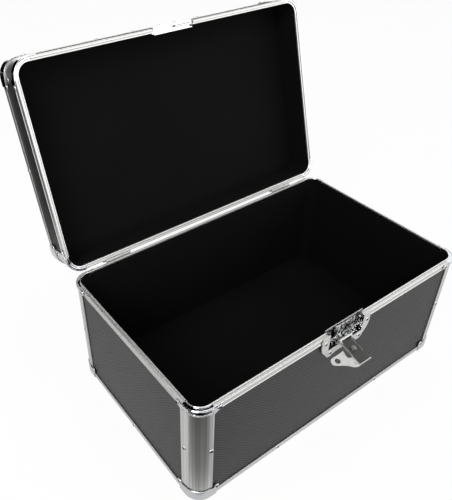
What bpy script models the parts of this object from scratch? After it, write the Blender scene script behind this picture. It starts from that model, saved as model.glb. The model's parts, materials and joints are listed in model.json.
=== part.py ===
# A record carrying case: a deep base and a shallow lid of faced board, held in aluminium
# extrusions with chromed corners, with two hinges, a lever latch and a drop handle.
# The origin is at the middle of the floor inside, the front faces -Y and +Z is up.
# The lid is modelled shut and then turned open about its hinge pins.
# The feature that takes most skill is the latch: flap, hook, spring, lock and catch.

import bpy
import bmesh
from math import cos, pi, radians, sin
from mathutils import Matrix, Vector

# Whole case
case_width = 0.3997
case_depth = 0.2444
base_height = 0.1520
lid_height = 0.0470
corner_radius = 0.0190
touch_gap = 0.0003
overrun = 0.0040
weld_distance = 0.00001
lid_open_angle = radians(106.2)
arc_steps = 6

# Walls, measured inwards from the outer face
rim_leg_thickness = 0.0010
panel_thickness = 0.0024
lining_thickness = 0.00085
floor_panel_thickness = 0.0030
floor_lining_thickness = 0.0010

# Rim extrusions
rim_height = 0.0095
rim_inner_leg = 0.0068
rim_web = 0.0016
tongue_width = 0.0014
tongue_height = 0.0015
groove_clearance = 0.0006
bead_height = 0.0018
bead_relief = 0.0004

# Corner posts
post_leg = 0.0222
post_shell = 0.0010
post_web = 0.0008
panel_tongue = 0.0013
post_slot_depth = 0.0024

# Edge strips at the bottom of the base and the top of the lid
strip_leg = 0.0085
strip_thickness = 0.0010
strip_round = 0.0024

# Chromed caps at the rim corners
rim_cap_wall = 0.0008
rim_cap_arm = 0.0312
rim_cap_straight = 0.0016
rim_cap_ring_depth = 0.0064
rim_cap_ear_radius = 0.0036
rim_cap_ear_root = 0.0112
rim_cap_rivet_drop = 0.0050
cap_skin = 0.0001

# Chromed caps at the outer corners
outer_cap_wall = 0.0008
outer_cap_height = 0.0094
outer_cap_inward = 0.0140
outer_cap_ear_radius = 0.0033
outer_cap_ear_rise = 0.0112
outer_cap_ear_inset = 0.0272

# Hinges
hinge_pin_y_offset = 0.0013
hinge_pin_rise = 0.0006
hinge_pin_radius = 0.0009
hinge_knuckle_radius = 0.0019
hinge_leaf_thickness = 0.0010
hinge_leaf_width = 0.0340
hinge_leaf_height = 0.0200
hinge_centre_share = 0.676
hinge_pin_head = 0.0040
hinge_round_steps = 10

# Latch base plate and its box
latch_plate_thickness = 0.0012
latch_half_width = 0.0372
latch_drop = 0.0345
latch_lobe_radius = 0.0062
latch_lobe_x = 0.0225
latch_side_shares = [(0.957, 0.017), (1.0, 0.087), (1.0, 0.417), (0.962, 0.580), (0.892, 0.696)]
latch_valley_shares = [(0.455, 0.952), (0.338, 0.913)]
box_half_width = 0.0268
box_depth_below = 0.0230
box_wall = 0.0008
box_lip_rise = 0.0035
box_lip_half_width = 0.0285
window_top_drop = 0.0015

# Flap, with its pin behind the plate's face
flap_pin_out = 0.0007
flap_pin_drop = 0.0196
flap_pin_radius = 0.0010
flap_barrel_radius = 0.0020
flap_half_width = 0.0083
flap_length = 0.0324
flap_flange_length = 0.0204
flap_flange_offset = 0.0012
flap_waist_along = 0.0045
flap_waist_offset = 0.0002
flap_floor_offset = 0.0036
flap_metal = 0.0009
flap_floor_start = 0.0024
flap_tip_lip = 0.0022
flap_seam = 0.0001
flap_open_angle = radians(102.8)
flap_ear_thickness = 0.0012
flap_ear_foot_share = 1.5

# Lock in the flap
lock_along = 0.0140
lock_barrel_radius = 0.0030
lock_plug_radius = 0.0019
lock_inner_height = 0.0016
lock_outer_height = 0.0022
lock_cam_length = 0.0046
lock_cam_width = 0.0016
lock_cam_thickness = 0.0006
lock_cam_heel_share = 0.5
lock_slot_width_share = 0.22
lock_slot_length_share = 0.7

# Tab with the padlock hole, beside the flap and welded under its floor
tab_thickness = 0.0009
tab_left = 0.0335
tab_right = 0.0060
tab_start = 0.0100
tab_end = 0.0318
tab_hole_radius = 0.0033
tab_hole_x = 0.0256
tab_hole_along = 0.0157
tab_small_hole_radius = 0.0009
tab_small_hole_x = 0.0113
tab_small_hole_along = 0.0281
tab_outline_shares = [
    (0.00, 0.23), (0.06, 0.07), (0.20, 0.00), (0.46, 0.01), (0.70, 0.00), (0.80, -0.02), (0.79, 0.10),
    (0.74, 0.30), (0.80, 0.45), (1.00, 0.52), (1.02, 0.97), (0.84, 1.02), (0.66, 0.92), (0.47, 0.69),
    (0.27, 0.53), (0.06, 0.37)]

# Hook, its pin and its spring
hook_pin_drop = 0.0120
hook_pin_behind = 0.0018
hook_pin_radius = 0.0010
hook_left = 0.0165
hook_right = 0.0030
hook_metal = 0.0010
hook_front_share = 0.4
hook_eye_radius = 0.0019
hook_tilt = radians(4.5)
hook_barb_top = 0.0029
hook_barb_bottom = 0.0017
hook_barb_reach = 0.0011
hook_barb_slope_share = 0.7
hook_tail_drop = 0.0052
spring_turns = 5
spring_radius = 0.0016
spring_wire = 0.0004
spring_left = 0.0045
spring_right = 0.0105
spring_leg = 0.0055
spring_turn_points = 8

# Catch on the lid
catch_half_width = 0.0270
catch_metal = 0.0010
catch_leg_rise = 0.0166
catch_leg_half_width = 0.0175
catch_pocket_rise = 0.0048
catch_inner_out = 0.0024
catch_keeper_reach = 0.0011
catch_groove = 0.0027
catch_slot_left = 0.0180
catch_slot_right = 0.0045
catch_bead_radius = 0.0013
catch_bead_inset = 0.0030
catch_corner = 0.0040

# Handle on the lid
handle_half_span = 0.0550
handle_pivot_rise = 0.0075
handle_rod_radius = 0.0028
handle_arm = 0.0330
handle_bend = 0.0100
handle_grip_radius = 0.0075
handle_grip_length = 0.0780
handle_grip_round = 0.0030
handle_grip_swell_share = 1.06
handle_grip_middle_share = 0.4
handle_hang_angle = radians(16.2)
handle_rod_end = 0.0020
handle_ear_clearance = 0.0008
bracket_length = 0.0300
bracket_width = 0.0200
bracket_metal = 0.0015
bracket_ear_thickness = 0.0030
bracket_ear_radius = 0.0052
bracket_corner = 0.0050
bracket_foot_share = 1.3

# Places that follow from the sizes
half_x = case_width / 2
half_y = case_depth / 2
panel_out = rim_leg_thickness + touch_gap
panel_in = panel_out + panel_thickness
lining_out = panel_in + touch_gap
wall = lining_out + lining_thickness
strip_base = outer_cap_wall + touch_gap
panel_recess = strip_base + strip_thickness + touch_gap
floor_rise = panel_recess + floor_panel_thickness + touch_gap + floor_lining_thickness
rim_z = base_height - floor_rise
lid_z = rim_z + touch_gap
lid_face = lid_z + lid_height - panel_recess
hinge_y = half_y + hinge_pin_y_offset
hinge_z = rim_z + hinge_pin_rise
hinge_x = half_x * hinge_centre_share
slot_end = post_leg - post_slot_depth

# Every part goes in one collection and every cutter in another.
for old in list(bpy.data.objects):
    bpy.data.objects.remove(old, do_unlink=True)
case = bpy.data.collections.new("record_carrying_case")
cutters = bpy.data.collections.new("cutters")
bpy.context.scene.collection.children.link(case)
bpy.context.scene.collection.children.link(cutters)


# Materials

def material(name, colour, metallic, roughness):
    mat = bpy.data.materials.new(name)
    mat.use_nodes = True
    shader = mat.node_tree.nodes["Principled BSDF"]
    shader.inputs["Base Color"].default_value = (*colour, 1.0)
    shader.inputs["Metallic"].default_value = metallic
    shader.inputs["Roughness"].default_value = roughness
    return mat


dimpled_plastic = material("dimpled black plastic", (0.075, 0.075, 0.080), 0.0, 0.45)
black_lining = material("black lining", (0.006, 0.006, 0.006), 0.0, 0.95)
aluminium = material("satin aluminium", (0.60, 0.60, 0.59), 1.0, 0.32)
chrome = material("polished chrome", (0.80, 0.80, 0.80), 1.0, 0.08)
zinc = material("bright zinc plate", (0.72, 0.72, 0.72), 1.0, 0.22)
spring_steel = material("spring steel", (0.35, 0.35, 0.35), 1.0, 0.35)
grip_plastic = material("black moulded grip", (0.015, 0.015, 0.015), 0.0, 0.55)


# Mesh helpers

def add_object(name, bm, mat, smooth=True, collection=case):
    """Close the mesh, point its faces out and put it in the scene."""
    bmesh.ops.remove_doubles(bm, verts=bm.verts, dist=weld_distance)
    bmesh.ops.recalc_face_normals(bm, faces=bm.faces)
    mesh = bpy.data.meshes.new(name)
    bm.to_mesh(mesh)
    bm.free()
    if smooth:
        mesh.shade_smooth()
        mesh.set_sharp_from_angle(angle=radians(35))
    obj = bpy.data.objects.new(name, mesh)
    collection.objects.link(obj)
    if mat:
        mesh.materials.append(mat)
    return obj


def block(bm, low, high):
    """A box between two corners."""
    made = bmesh.ops.create_cube(bm, size=1.0)
    size = [b - a for a, b in zip(low, high)]
    middle = [(a + b) / 2 for a, b in zip(low, high)]
    bmesh.ops.scale(bm, vec=size, verts=made["verts"])
    bmesh.ops.translate(bm, vec=middle, verts=made["verts"])


def extrude_section(bm, section, stations, ring=False):
    """Carry a closed section through a list of matrices, one for each station.

    A ring ends where it starts, so it loses both end faces and is welded there.
    """
    verts = [bm.verts.new(stations[0] @ Vector(p)) for p in section]
    start = face = bm.faces.new(verts)
    for before, after in zip(stations, stations[1:]):
        made = bmesh.ops.extrude_face_region(bm, geom=[face], use_keep_orig=True)["geom"]
        new_verts = [g for g in made if isinstance(g, bmesh.types.BMVert)]
        bmesh.ops.transform(bm, matrix=after @ before.inverted(), verts=new_verts)
        if face is not start:
            bmesh.ops.delete(bm, geom=[face], context="FACES_ONLY")
        face = [g for g in made if isinstance(g, bmesh.types.BMFace) and g is not face][0]
    if ring:
        bmesh.ops.delete(bm, geom=[start, face], context="FACES_ONLY")


def prism(bm, outline, axis, start, end):
    """A straight extrusion of an outline along X, Y or Z."""
    turn = {"X": Matrix(((0, 0, 1, 0), (1, 0, 0, 0), (0, 1, 0, 0), (0, 0, 0, 1))),
            "Y": Matrix(((1, 0, 0, 0), (0, 0, 1, 0), (0, 1, 0, 0), (0, 0, 0, 1))),
            "Z": Matrix.Identity(4)}[axis]
    section = [(p[0], p[1], 0.0) for p in outline]
    extrude_section(bm, section, [turn @ Matrix.Translation((0, 0, h)) for h in (start, end)])


def arc(centre, radius, first, last, steps=arc_steps):
    """Points along a circle from one angle to another, in degrees."""
    angles = [radians(first + (last - first) * i / steps) for i in range(steps + 1)]
    return [(centre[0] + radius * cos(a), centre[1] + radius * sin(a)) for a in angles]


def rounded_rectangle(width, depth, radius, steps=arc_steps):
    """The outline of a rectangle with round corners, about the middle."""
    x, y = width / 2 - radius, depth / 2 - radius
    corners = [((x, y), 0), ((-x, y), 90), ((-x, -y), 180), ((x, -y), 270)]
    return [p for centre, first in corners for p in arc(centre, radius, first, first + 90, steps)]


def smooth_loop(points, steps=3):
    """A closed curve through the points."""
    out = []
    count = len(points)
    for i in range(count):
        p0, p1, p2, p3 = (Vector(points[(i + k) % count]) for k in (-1, 0, 1, 2))
        for j in range(steps):
            t = j / steps
            out.append(0.5 * (2 * p1 + (p2 - p0) * t + (2 * p0 - 5 * p1 + 4 * p2 - p3) * t * t
                              + (3 * p1 - p0 - 3 * p2 + p3) * t ** 3))
    return [(p.x, p.y) for p in out]


def curve_mesh(name, data, matrix):
    """Turn a curve into a welded bmesh, placed by a matrix."""
    obj = bpy.data.objects.new(name, data)
    case.objects.link(obj)
    obj.matrix_world = matrix
    bpy.context.view_layer.update()
    evaluated = obj.evaluated_get(bpy.context.evaluated_depsgraph_get())
    mesh = bpy.data.meshes.new_from_object(evaluated)
    bm = bmesh.new()
    bm.from_mesh(mesh)
    bmesh.ops.transform(bm, matrix=matrix, verts=bm.verts)
    bmesh.ops.remove_doubles(bm, verts=bm.verts, dist=weld_distance)
    bpy.data.objects.remove(obj)
    bpy.data.meshes.remove(mesh)
    bpy.data.curves.remove(data)
    return bm


def flat_plate(name, loops, thickness, matrix=Matrix.Identity(4)):
    """A plate from an outline and its holes, in the matrix's XY plane, rising from its zero."""
    data = bpy.data.curves.new(name, "CURVE")
    data.dimensions = "2D"
    data.fill_mode = "BOTH"
    data.extrude = thickness / 2
    for loop in loops:
        spline = data.splines.new("POLY")
        spline.points.add(len(loop) - 1)
        for point, place in zip(spline.points, loop):
            point.co = (place[0], place[1], 0, 1)
        spline.use_cyclic_u = True
    return curve_mesh(name, data, matrix @ Matrix.Translation((0, 0, thickness / 2)))


def rod(name, points, radius, resolution=2, cyclic=False):
    """A round bar along a line of points."""
    data = bpy.data.curves.new(name, "CURVE")
    data.dimensions = "3D"
    data.bevel_depth = radius
    data.bevel_resolution = resolution
    data.use_fill_caps = True
    spline = data.splines.new("POLY")
    spline.points.add(len(points) - 1)
    for point, place in zip(spline.points, points):
        point.co = (*place, 1)
    spline.use_cyclic_u = cyclic
    return curve_mesh(name, data, Matrix.Identity(4))


def turned(name, profile, matrix, steps):
    """A solid of revolution about the matrix's Z, from a profile that runs top to bottom."""
    bm = bmesh.new()
    verts = [bm.verts.new((r, 0, h)) for r, h in profile]
    for a, b in zip(verts, verts[1:]):
        bm.edges.new((a, b))
    mesh = bpy.data.meshes.new(name)
    bm.to_mesh(mesh)
    bm.free()
    obj = bpy.data.objects.new(name, mesh)
    case.objects.link(obj)
    screw = obj.modifiers.new("turn", "SCREW")
    screw.steps = steps
    screw.render_steps = steps
    screw.use_merge_vertices = True
    screw.merge_threshold = weld_distance
    bpy.context.view_layer.update()
    evaluated = obj.evaluated_get(bpy.context.evaluated_depsgraph_get())
    made = bpy.data.meshes.new_from_object(evaluated)
    out = bmesh.new()
    out.from_mesh(made)
    bmesh.ops.remove_doubles(out, verts=out.verts, dist=weld_distance)
    bmesh.ops.transform(out, matrix=matrix, verts=out.verts)
    bpy.data.objects.remove(obj)
    bpy.data.meshes.remove(mesh)
    bpy.data.meshes.remove(made)
    return out


def boolean(obj, bm, operation):
    """Cut a shape from a part, or join it on."""
    tool = add_object(obj.name + " cutter", bm, None, False, cutters)
    tool.hide_render = True
    tool.display_type = "WIRE"
    modifier = obj.modifiers.new(operation.lower(), "BOOLEAN")
    modifier.operation = operation
    modifier.object = tool
    bpy.context.view_layer.update()
    evaluated = obj.evaluated_get(bpy.context.evaluated_depsgraph_get())
    mesh = bpy.data.meshes.new_from_object(evaluated)
    old = obj.data
    obj.modifiers.clear()
    obj.data = mesh
    mesh.name = obj.name
    bpy.data.meshes.remove(old)
    bpy.data.objects.remove(tool)


def cut_box(obj, low, high):
    bm = bmesh.new()
    block(bm, low, high)
    boolean(obj, bm, "DIFFERENCE")


def four_corners(name, source, mat):
    """Mirror the piece built at +X +Y to all four corners, each a part of its own."""
    for end, fy in (("front", -1), ("back", 1)):
        for side, fx in (("left", -1), ("right", 1)):
            bm = bmesh.new()
            bm.from_mesh(source.data)
            bmesh.ops.transform(bm, matrix=Matrix.Diagonal((fx, fy, 1, 1)), verts=bm.verts)
            add_object(f"{name}_{end}_{side}", bm, mat)
    bpy.data.objects.remove(source)


def corner_stations(inset, arm=0.0):
    """Matrices round the corner at +X +Y: X is outwards, Z is up and the path runs along Y.

    With an arm, the path starts and ends that far from the corner of the outer faces.
    """
    cx, cy = half_x - inset, half_y - inset
    out = []
    for i in range(arc_steps + 1):
        turn = radians(90 * i / arc_steps)
        out.append(Matrix.Translation((cx, cy, 0)) @ Matrix.Rotation(turn, 4, "Z"))
    if arm > inset:
        out.insert(0, Matrix.Translation((0, inset - arm, 0)) @ out[0])
        out.append(Matrix.Translation((inset - arm, 0, 0)) @ out[-1])
    return out


def ring_stations():
    """Matrices round all four corners, with X outwards from each corner's centre."""
    out = []
    for corner in range(4):
        side = Matrix.Rotation(radians(90 * corner), 4, "Z")
        x, y = half_x - corner_radius, half_y - corner_radius
        if corner % 2:
            x, y = y, x
        for i in range(arc_steps + 1):
            turn = Matrix.Rotation(radians(90 * i / arc_steps), 4, "Z")
            out.append(side @ Matrix.Translation((x, y, 0)) @ turn)
    return out + out[:1]


# Each half of the case is the same shell: z runs away from the mouth, from its rim plane.
# For the base it points down and for the lid up.

class Half:
    def __init__(self, name, mouth, away, height):
        self.name = name
        self.mouth = mouth
        self.away = away
        self.height = height

    def z(self, distance):
        """The height of a place that far from the mouth."""
        return self.mouth + self.away * distance

    def span(self, first, second):
        """Two heights in rising order, from their distances to the mouth."""
        return sorted((self.z(first), self.z(second)))


base = Half("base", rim_z, -1, base_height)
lid = Half("lid", lid_z, 1, lid_height)


def rim_section(half):
    """The rim's cross-section: distance in from the outer face, and distance from the mouth.

    The base carries a tongue at its inner edge, and the lid has the step that goes over it.
    """
    outer = tongue_height if half is base else -tongue_height
    step = wall - tongue_width
    if half is lid:
        step -= groove_clearance
    height = rim_height
    return [
        (0, outer + bead_relief),
        (bead_relief, outer),
        (step, outer),
        (step, 0),
        (wall, 0),
        (wall, rim_inner_leg),
        (lining_out, rim_inner_leg),
        (lining_out, rim_web + tongue_height),
        (rim_leg_thickness, rim_web + tongue_height),
        (rim_leg_thickness, height),
        (0, height),
        (0, height - bead_height),
        (bead_relief, height - bead_height - bead_relief),
        (bead_relief, outer + bead_height + bead_relief),
        (0, outer + bead_height)]


def rim(half):
    """The rim extrusion, bent round the four corners and closed on itself."""
    bm = bmesh.new()
    section = [(corner_radius - inset, 0, half.z(d)) for inset, d in rim_section(half)]
    extrude_section(bm, section, ring_stations(), True)
    return add_object(half.name + "_rim", bm, aluminium)


def rim_corner_cap(half):
    """A chromed corner round the rim's outer face, with a riveted ear along each side."""
    proud = touch_gap + rim_cap_wall
    edge = tongue_height if half is base else -tongue_height
    reach = corner_radius
    section = [
        (reach + proud - rim_cap_wall / 2, edge),
        (reach + touch_gap, edge),
        (reach + touch_gap, rim_cap_ring_depth),
        (reach + proud, rim_cap_ring_depth),
        (reach + proud, edge + rim_cap_wall / 2)]
    bm = bmesh.new()
    stations = corner_stations(corner_radius, corner_radius + rim_cap_straight)
    extrude_section(bm, [(r, 0, half.z(d)) for r, d in section], stations)
    source = add_object("rim cap source", bm, chrome)
    tip = rim_cap_arm - rim_cap_ear_radius
    drop = rim_cap_rivet_drop
    top = edge + rim_cap_wall
    lower = (tip - rim_cap_ear_radius / 2, drop + rim_cap_ear_radius)
    near = corner_radius + touch_gap
    ear = [(near, top), (tip, max(top, drop - rim_cap_ear_radius))]
    ear += arc((tip, drop), rim_cap_ear_radius, -60, 70, 5)
    ear += [lower, (near + rim_cap_straight, rim_cap_ear_root), (near, rim_cap_ring_depth - cap_skin)]
    add_ears(source, half, [(a, half.z(d)) for a, d in ear], proud)
    four_corners(half.name + "_rim_cap", source, chrome)


def add_ears(source, half, ear, proud):
    """Join a flat ear along each of the corner's two outer faces, a hair inside its skin."""
    for axis, along, across in (("Y", half_x, half_y), ("X", half_y, half_x)):
        bm = bmesh.new()
        near, far = across + touch_gap + cap_skin, across + proud - cap_skin
        prism(bm, [(along - a, z) for a, z in ear], axis, near, far)
        boolean(source, bm, "UNION")


def outer_corner_cap(half):
    """A pressed corner over the outer edge: a wall, a rolled edge and a flat underside."""
    proud = touch_gap + outer_cap_wall
    full = half.height
    reach = corner_radius
    outer, inner = reach + proud, reach + touch_gap
    roll, skin = strip_round + proud, outer_cap_wall
    turn = arc((outer - roll, roll), roll, 0, -90, 4)
    back = arc((outer - roll, roll), roll - skin, -90, 0, 4)
    end = reach + proud - outer_cap_inward
    top = outer_cap_height
    section = [(outer, top)] + turn + [(end, 0), (end, skin)] + back + [(inner, top)]
    bm = bmesh.new()
    stations = corner_stations(corner_radius, outer_cap_ear_inset)
    extrude_section(bm, [(r, 0, half.z(full - h)) for r, h in section], stations)
    source = add_object("outer cap source", bm, chrome)
    rise, around = outer_cap_ear_rise, outer_cap_ear_radius
    low = outer_cap_height / 2
    ear = [(outer_cap_ear_inset - around * 2, low), (outer_cap_ear_inset + around / 2, low)]
    ear += arc((outer_cap_ear_inset, rise), around, -30, 180, 8)
    add_ears(source, half, [(a, half.z(full - h)) for a, h in ear], proud)
    four_corners(half.name + "_corner_cap", source, chrome)


def edge_strip(half):
    """The angle along the outer edge, bent round the corners under their caps."""
    full = half.height - strip_base
    section = [(0, strip_leg)] + arc((strip_round, strip_round), strip_round, 180, 270, 3)
    section += [(strip_leg, 0), (strip_leg, strip_thickness), (strip_thickness, strip_thickness),
                (strip_thickness, strip_leg)]
    bm = bmesh.new()
    section = [(corner_radius - inset, 0, half.z(full - h)) for inset, h in section]
    extrude_section(bm, section, ring_stations(), True)
    return add_object(half.name + "_edge_strip", bm, aluminium)


def corner_posts(half):
    """Quarter-round extrusions with a slot on each side that holds a panel's edge."""
    near = rim_height + touch_gap
    far = half.height - strip_base - strip_leg - touch_gap
    r = corner_radius
    x, y = half_x - r, half_y - r
    leg = post_leg - r
    floor = slot_end - r
    shell = r - post_shell
    web_out = r - panel_in + post_web
    web_in = r - panel_in
    outline = arc((0, 0), r, 0, 90)
    outline += [(-leg, r), (-leg, shell), (-floor, shell), (-floor, web_out), (-leg, web_out), (-leg, web_in)]
    outline += arc((0, 0), web_in, 90, 0)
    outline += [(web_in, -leg), (web_out, -leg), (web_out, -floor), (shell, -floor), (shell, -leg), (r, -leg)]
    hollow = arc((0, 0), shell, 4, 86) + arc((0, 0), web_out, 86, 4)
    place = Matrix.Translation((x, y, half.span(near, far)[0]))
    bm = flat_plate("post", [outline, hollow], abs(far - near), place)
    source = add_object("post source", bm, aluminium)
    four_corners(half.name + "_post", source, aluminium)


def panels(half):
    """Four walls and one large face, each a sheet of faced board."""
    low, high = half.span(rim_web + tongue_height + touch_gap, half.height - panel_recess)
    x_out, x_in = half_x - panel_out, half_x - panel_in
    y_out, y_in = half_y - panel_out, half_y - panel_in
    x_end, y_end = half_x - slot_end - touch_gap, half_y - slot_end - touch_gap
    tongue = post_slot_depth + touch_gap
    for side, end, out, inner, sign in (("front", x_end, y_out, y_in, -1), ("back", x_end, y_out, y_in, 1),
                                        ("left", y_end, x_out, x_in, -1), ("right", y_end, x_out, x_in, 1)):
        inside = out - panel_tongue
        outline = [(-end, out), (end, out), (end, inside), (end - tongue, inside), (end - tongue, inner),
                   (-end + tongue, inner), (-end + tongue, inside), (-end, inside)]
        outline = [(a, sign * b) for a, b in outline]
        if side in ("left", "right"):
            outline = [(b, a) for a, b in outline]
        bm = bmesh.new()
        prism(bm, outline, "Z", low, high)
        add_object(f"{half.name}_{side}_panel", bm, dimpled_plastic, False)
    face = half.height - panel_recess
    start = half.span(face - floor_panel_thickness, face)[0]
    inset = panel_in + touch_gap
    outline = rounded_rectangle(case_width - 2 * inset, case_depth - 2 * inset, corner_radius - inset)
    bm = bmesh.new()
    prism(bm, outline, "Z", start, start + floor_panel_thickness)
    name = "base_bottom_panel" if half is base else "lid_top_panel"
    add_object(name, bm, dimpled_plastic, False)


def lining(half):
    """A black tray that covers the walls, their corners and the large panel inside."""
    face = half.height - panel_recess - floor_panel_thickness - touch_gap
    near = rim_inner_leg + touch_gap
    width, depth = case_width - 2 * lining_out, case_depth - 2 * lining_out
    radius = corner_radius - lining_out
    bm = bmesh.new()
    low, high = half.span(near, face)
    prism(bm, rounded_rectangle(width, depth, radius), "Z", low, high)
    tray = add_object(half.name + "_lining", bm, black_lining)
    bm = bmesh.new()
    low, high = half.span(near - overrun, face - floor_lining_thickness)
    width, depth = case_width - 2 * wall, case_depth - 2 * wall
    prism(bm, rounded_rectangle(width, depth, radius - lining_thickness), "Z", low, high)
    boolean(tray, bm, "DIFFERENCE")


def shell(half):
    rim(half)
    rim_corner_cap(half)
    corner_posts(half)
    panels(half)
    edge_strip(half)
    outer_corner_cap(half)
    lining(half)


# Hinges

def hinge_leaf(half, side):
    """A flat leaf with its knuckles rolled round the pin: one at each end, or one between."""
    sign = -1 if side == "left" else 1
    x = sign * hinge_x
    third = hinge_leaf_width / 3
    left = x - hinge_leaf_width / 2
    if half is base:
        runs = [(left, left + third - touch_gap), (left + 2 * third + touch_gap, left + hinge_leaf_width)]
    else:
        runs = [(left + third, left + 2 * third)]
    inner = half_y + touch_gap
    outer = inner + hinge_leaf_thickness
    reach = half.mouth + half.away * hinge_leaf_height
    start = hinge_z + half.away * (hinge_knuckle_radius + touch_gap)
    bm = bmesh.new()
    block(bm, (left, inner, min(start, reach)), (left + hinge_leaf_width, outer, max(start, reach)))
    leaf = add_object(f"{half.name}_hinge_leaf_{side}", bm, zinc)
    for a, b in runs:
        circle = arc((hinge_y, hinge_z), hinge_knuckle_radius, 0, 360, hinge_round_steps)[:-1]
        bm = bmesh.new()
        prism(bm, circle, "X", a, b)
        boolean(leaf, bm, "UNION")
        bm = bmesh.new()
        overlap = start + half.away * hinge_leaf_thickness
        block(bm, (a, hinge_y - hinge_leaf_thickness / 2, min(hinge_z, overlap)),
              (b, outer, max(hinge_z, overlap)))
        boolean(leaf, bm, "UNION")
    bm = bmesh.new()
    circle = arc((hinge_y, hinge_z), hinge_pin_radius + touch_gap, 0, 360, hinge_round_steps)[:-1]
    prism(bm, circle, "X", left - overrun, left + hinge_leaf_width + overrun)
    boolean(leaf, bm, "DIFFERENCE")


def hinge_pin(side):
    """A plain pin with one end that stands out on the left."""
    sign = -1 if side == "left" else 1
    left = sign * hinge_x - hinge_leaf_width / 2
    circle = arc((hinge_y, hinge_z), hinge_pin_radius, 0, 360, hinge_round_steps)[:-1]
    bm = bmesh.new()
    prism(bm, circle, "X", left - hinge_pin_head, left + hinge_leaf_width)
    add_object("hinge_pin_" + side, bm, spring_steel)


def notch_for_hinges(half, obj):
    """Clear the outer leg of the rim behind each knuckle."""
    for sign in (-1, 1):
        x = sign * hinge_x
        reach = hinge_leaf_width / 2 + hinge_pin_head + touch_gap
        near = hinge_y - hinge_knuckle_radius - touch_gap
        low, high = sorted((half.z(-overrun), hinge_z + half.away * (hinge_knuckle_radius + touch_gap)))
        cut_box(obj, (x - reach, near, low), (x + hinge_leaf_width / 2 + touch_gap, half_y + overrun, high))


# Latch

def latch_base():
    """The winged plate, with the pressed box that stands in the wall behind its window."""
    face = -half_y - touch_gap
    right = [(latch_half_width * u, latch_drop * v) for u, v in latch_side_shares]
    right += arc((latch_lobe_x, latch_drop - latch_lobe_radius), latch_lobe_radius, 15, 100, 3)
    right += [(latch_half_width * u, latch_drop * v) for u, v in latch_valley_shares]
    outline = right + [(-x, d) for x, d in reversed(right)]
    window = [(-box_half_width + box_wall, window_top_drop), (-box_half_width + box_wall, box_depth_below),
              (box_half_width - box_wall, box_depth_below), (box_half_width - box_wall, window_top_drop)]
    upright = Matrix(((1, 0, 0, 0), (0, 0, -1, 0), (0, -1, 0, 0), (0, 0, 0, 1)))
    place = Matrix.Translation((0, face, rim_z)) @ upright
    bm = flat_plate("latch", [outline, window], latch_plate_thickness, place)
    plate = add_object("latch_base", bm, zinc)
    back = -half_y + wall
    low = rim_z - box_depth_below - box_wall
    bm = bmesh.new()
    block(bm, (-box_half_width, face - latch_plate_thickness / 2, low),
          (box_half_width, back, rim_z - window_top_drop))
    boolean(plate, bm, "UNION")
    bm = bmesh.new()
    block(bm, (-box_lip_half_width, back - box_wall, rim_z - 2 * window_top_drop),
          (box_lip_half_width, back, rim_z + box_lip_rise))
    boolean(plate, bm, "UNION")
    cut_box(plate, (-box_half_width + box_wall, face - overrun, rim_z - box_depth_below),
            (box_half_width - box_wall, back - box_wall, rim_z + box_lip_rise + overrun))
    for sign in (-1, 1):
        near = flap_half_width + touch_gap
        a, b = sorted((sign * near, sign * (near + flap_ear_thickness)))
        y, z = flap_axis()
        outline = arc((y, z), flap_barrel_radius, -60, 180, 8)
        foot = rim_z - box_depth_below - box_wall / 2
        outline += [(y - flap_barrel_radius, foot), (y + flap_barrel_radius * flap_ear_foot_share, foot)]
        bm = bmesh.new()
        prism(bm, outline, "X", a, b)
        boolean(plate, bm, "UNION")
    bm = bmesh.new()
    circle = arc(flap_axis(), flap_pin_radius + touch_gap, 0, 360, hinge_round_steps)[:-1]
    reach = flap_half_width + 2 * touch_gap + flap_ear_thickness
    prism(bm, circle, "X", -reach, reach)
    boolean(plate, bm, "DIFFERENCE")
    bm = bmesh.new()
    circle = arc(hook_axis(), hook_pin_radius + touch_gap, 0, 360, hinge_round_steps)[:-1]
    prism(bm, circle, "X", -box_half_width - overrun, box_half_width + overrun)
    boolean(plate, bm, "DIFFERENCE")


def flap_axis():
    return -half_y - flap_pin_out, rim_z - flap_pin_drop


def hook_axis():
    return -half_y + hook_pin_behind, rim_z - hook_pin_drop


def open_flap_frame():
    """X across, Y along the open flap from its pin, and Z out through its outer face."""
    y, z = flap_axis()
    drop = flap_open_angle - pi / 2
    along = Vector((0, -cos(drop), -sin(drop)))
    outer = Vector((0, sin(drop), -cos(drop)))
    frame = Matrix.Identity(4)
    for row in range(3):
        frame[row][0] = (1, 0, 0)[row]
        frame[row][1] = along[row]
        frame[row][2] = outer[row]
    frame[1][3], frame[2][3] = y, z
    return frame


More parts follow.
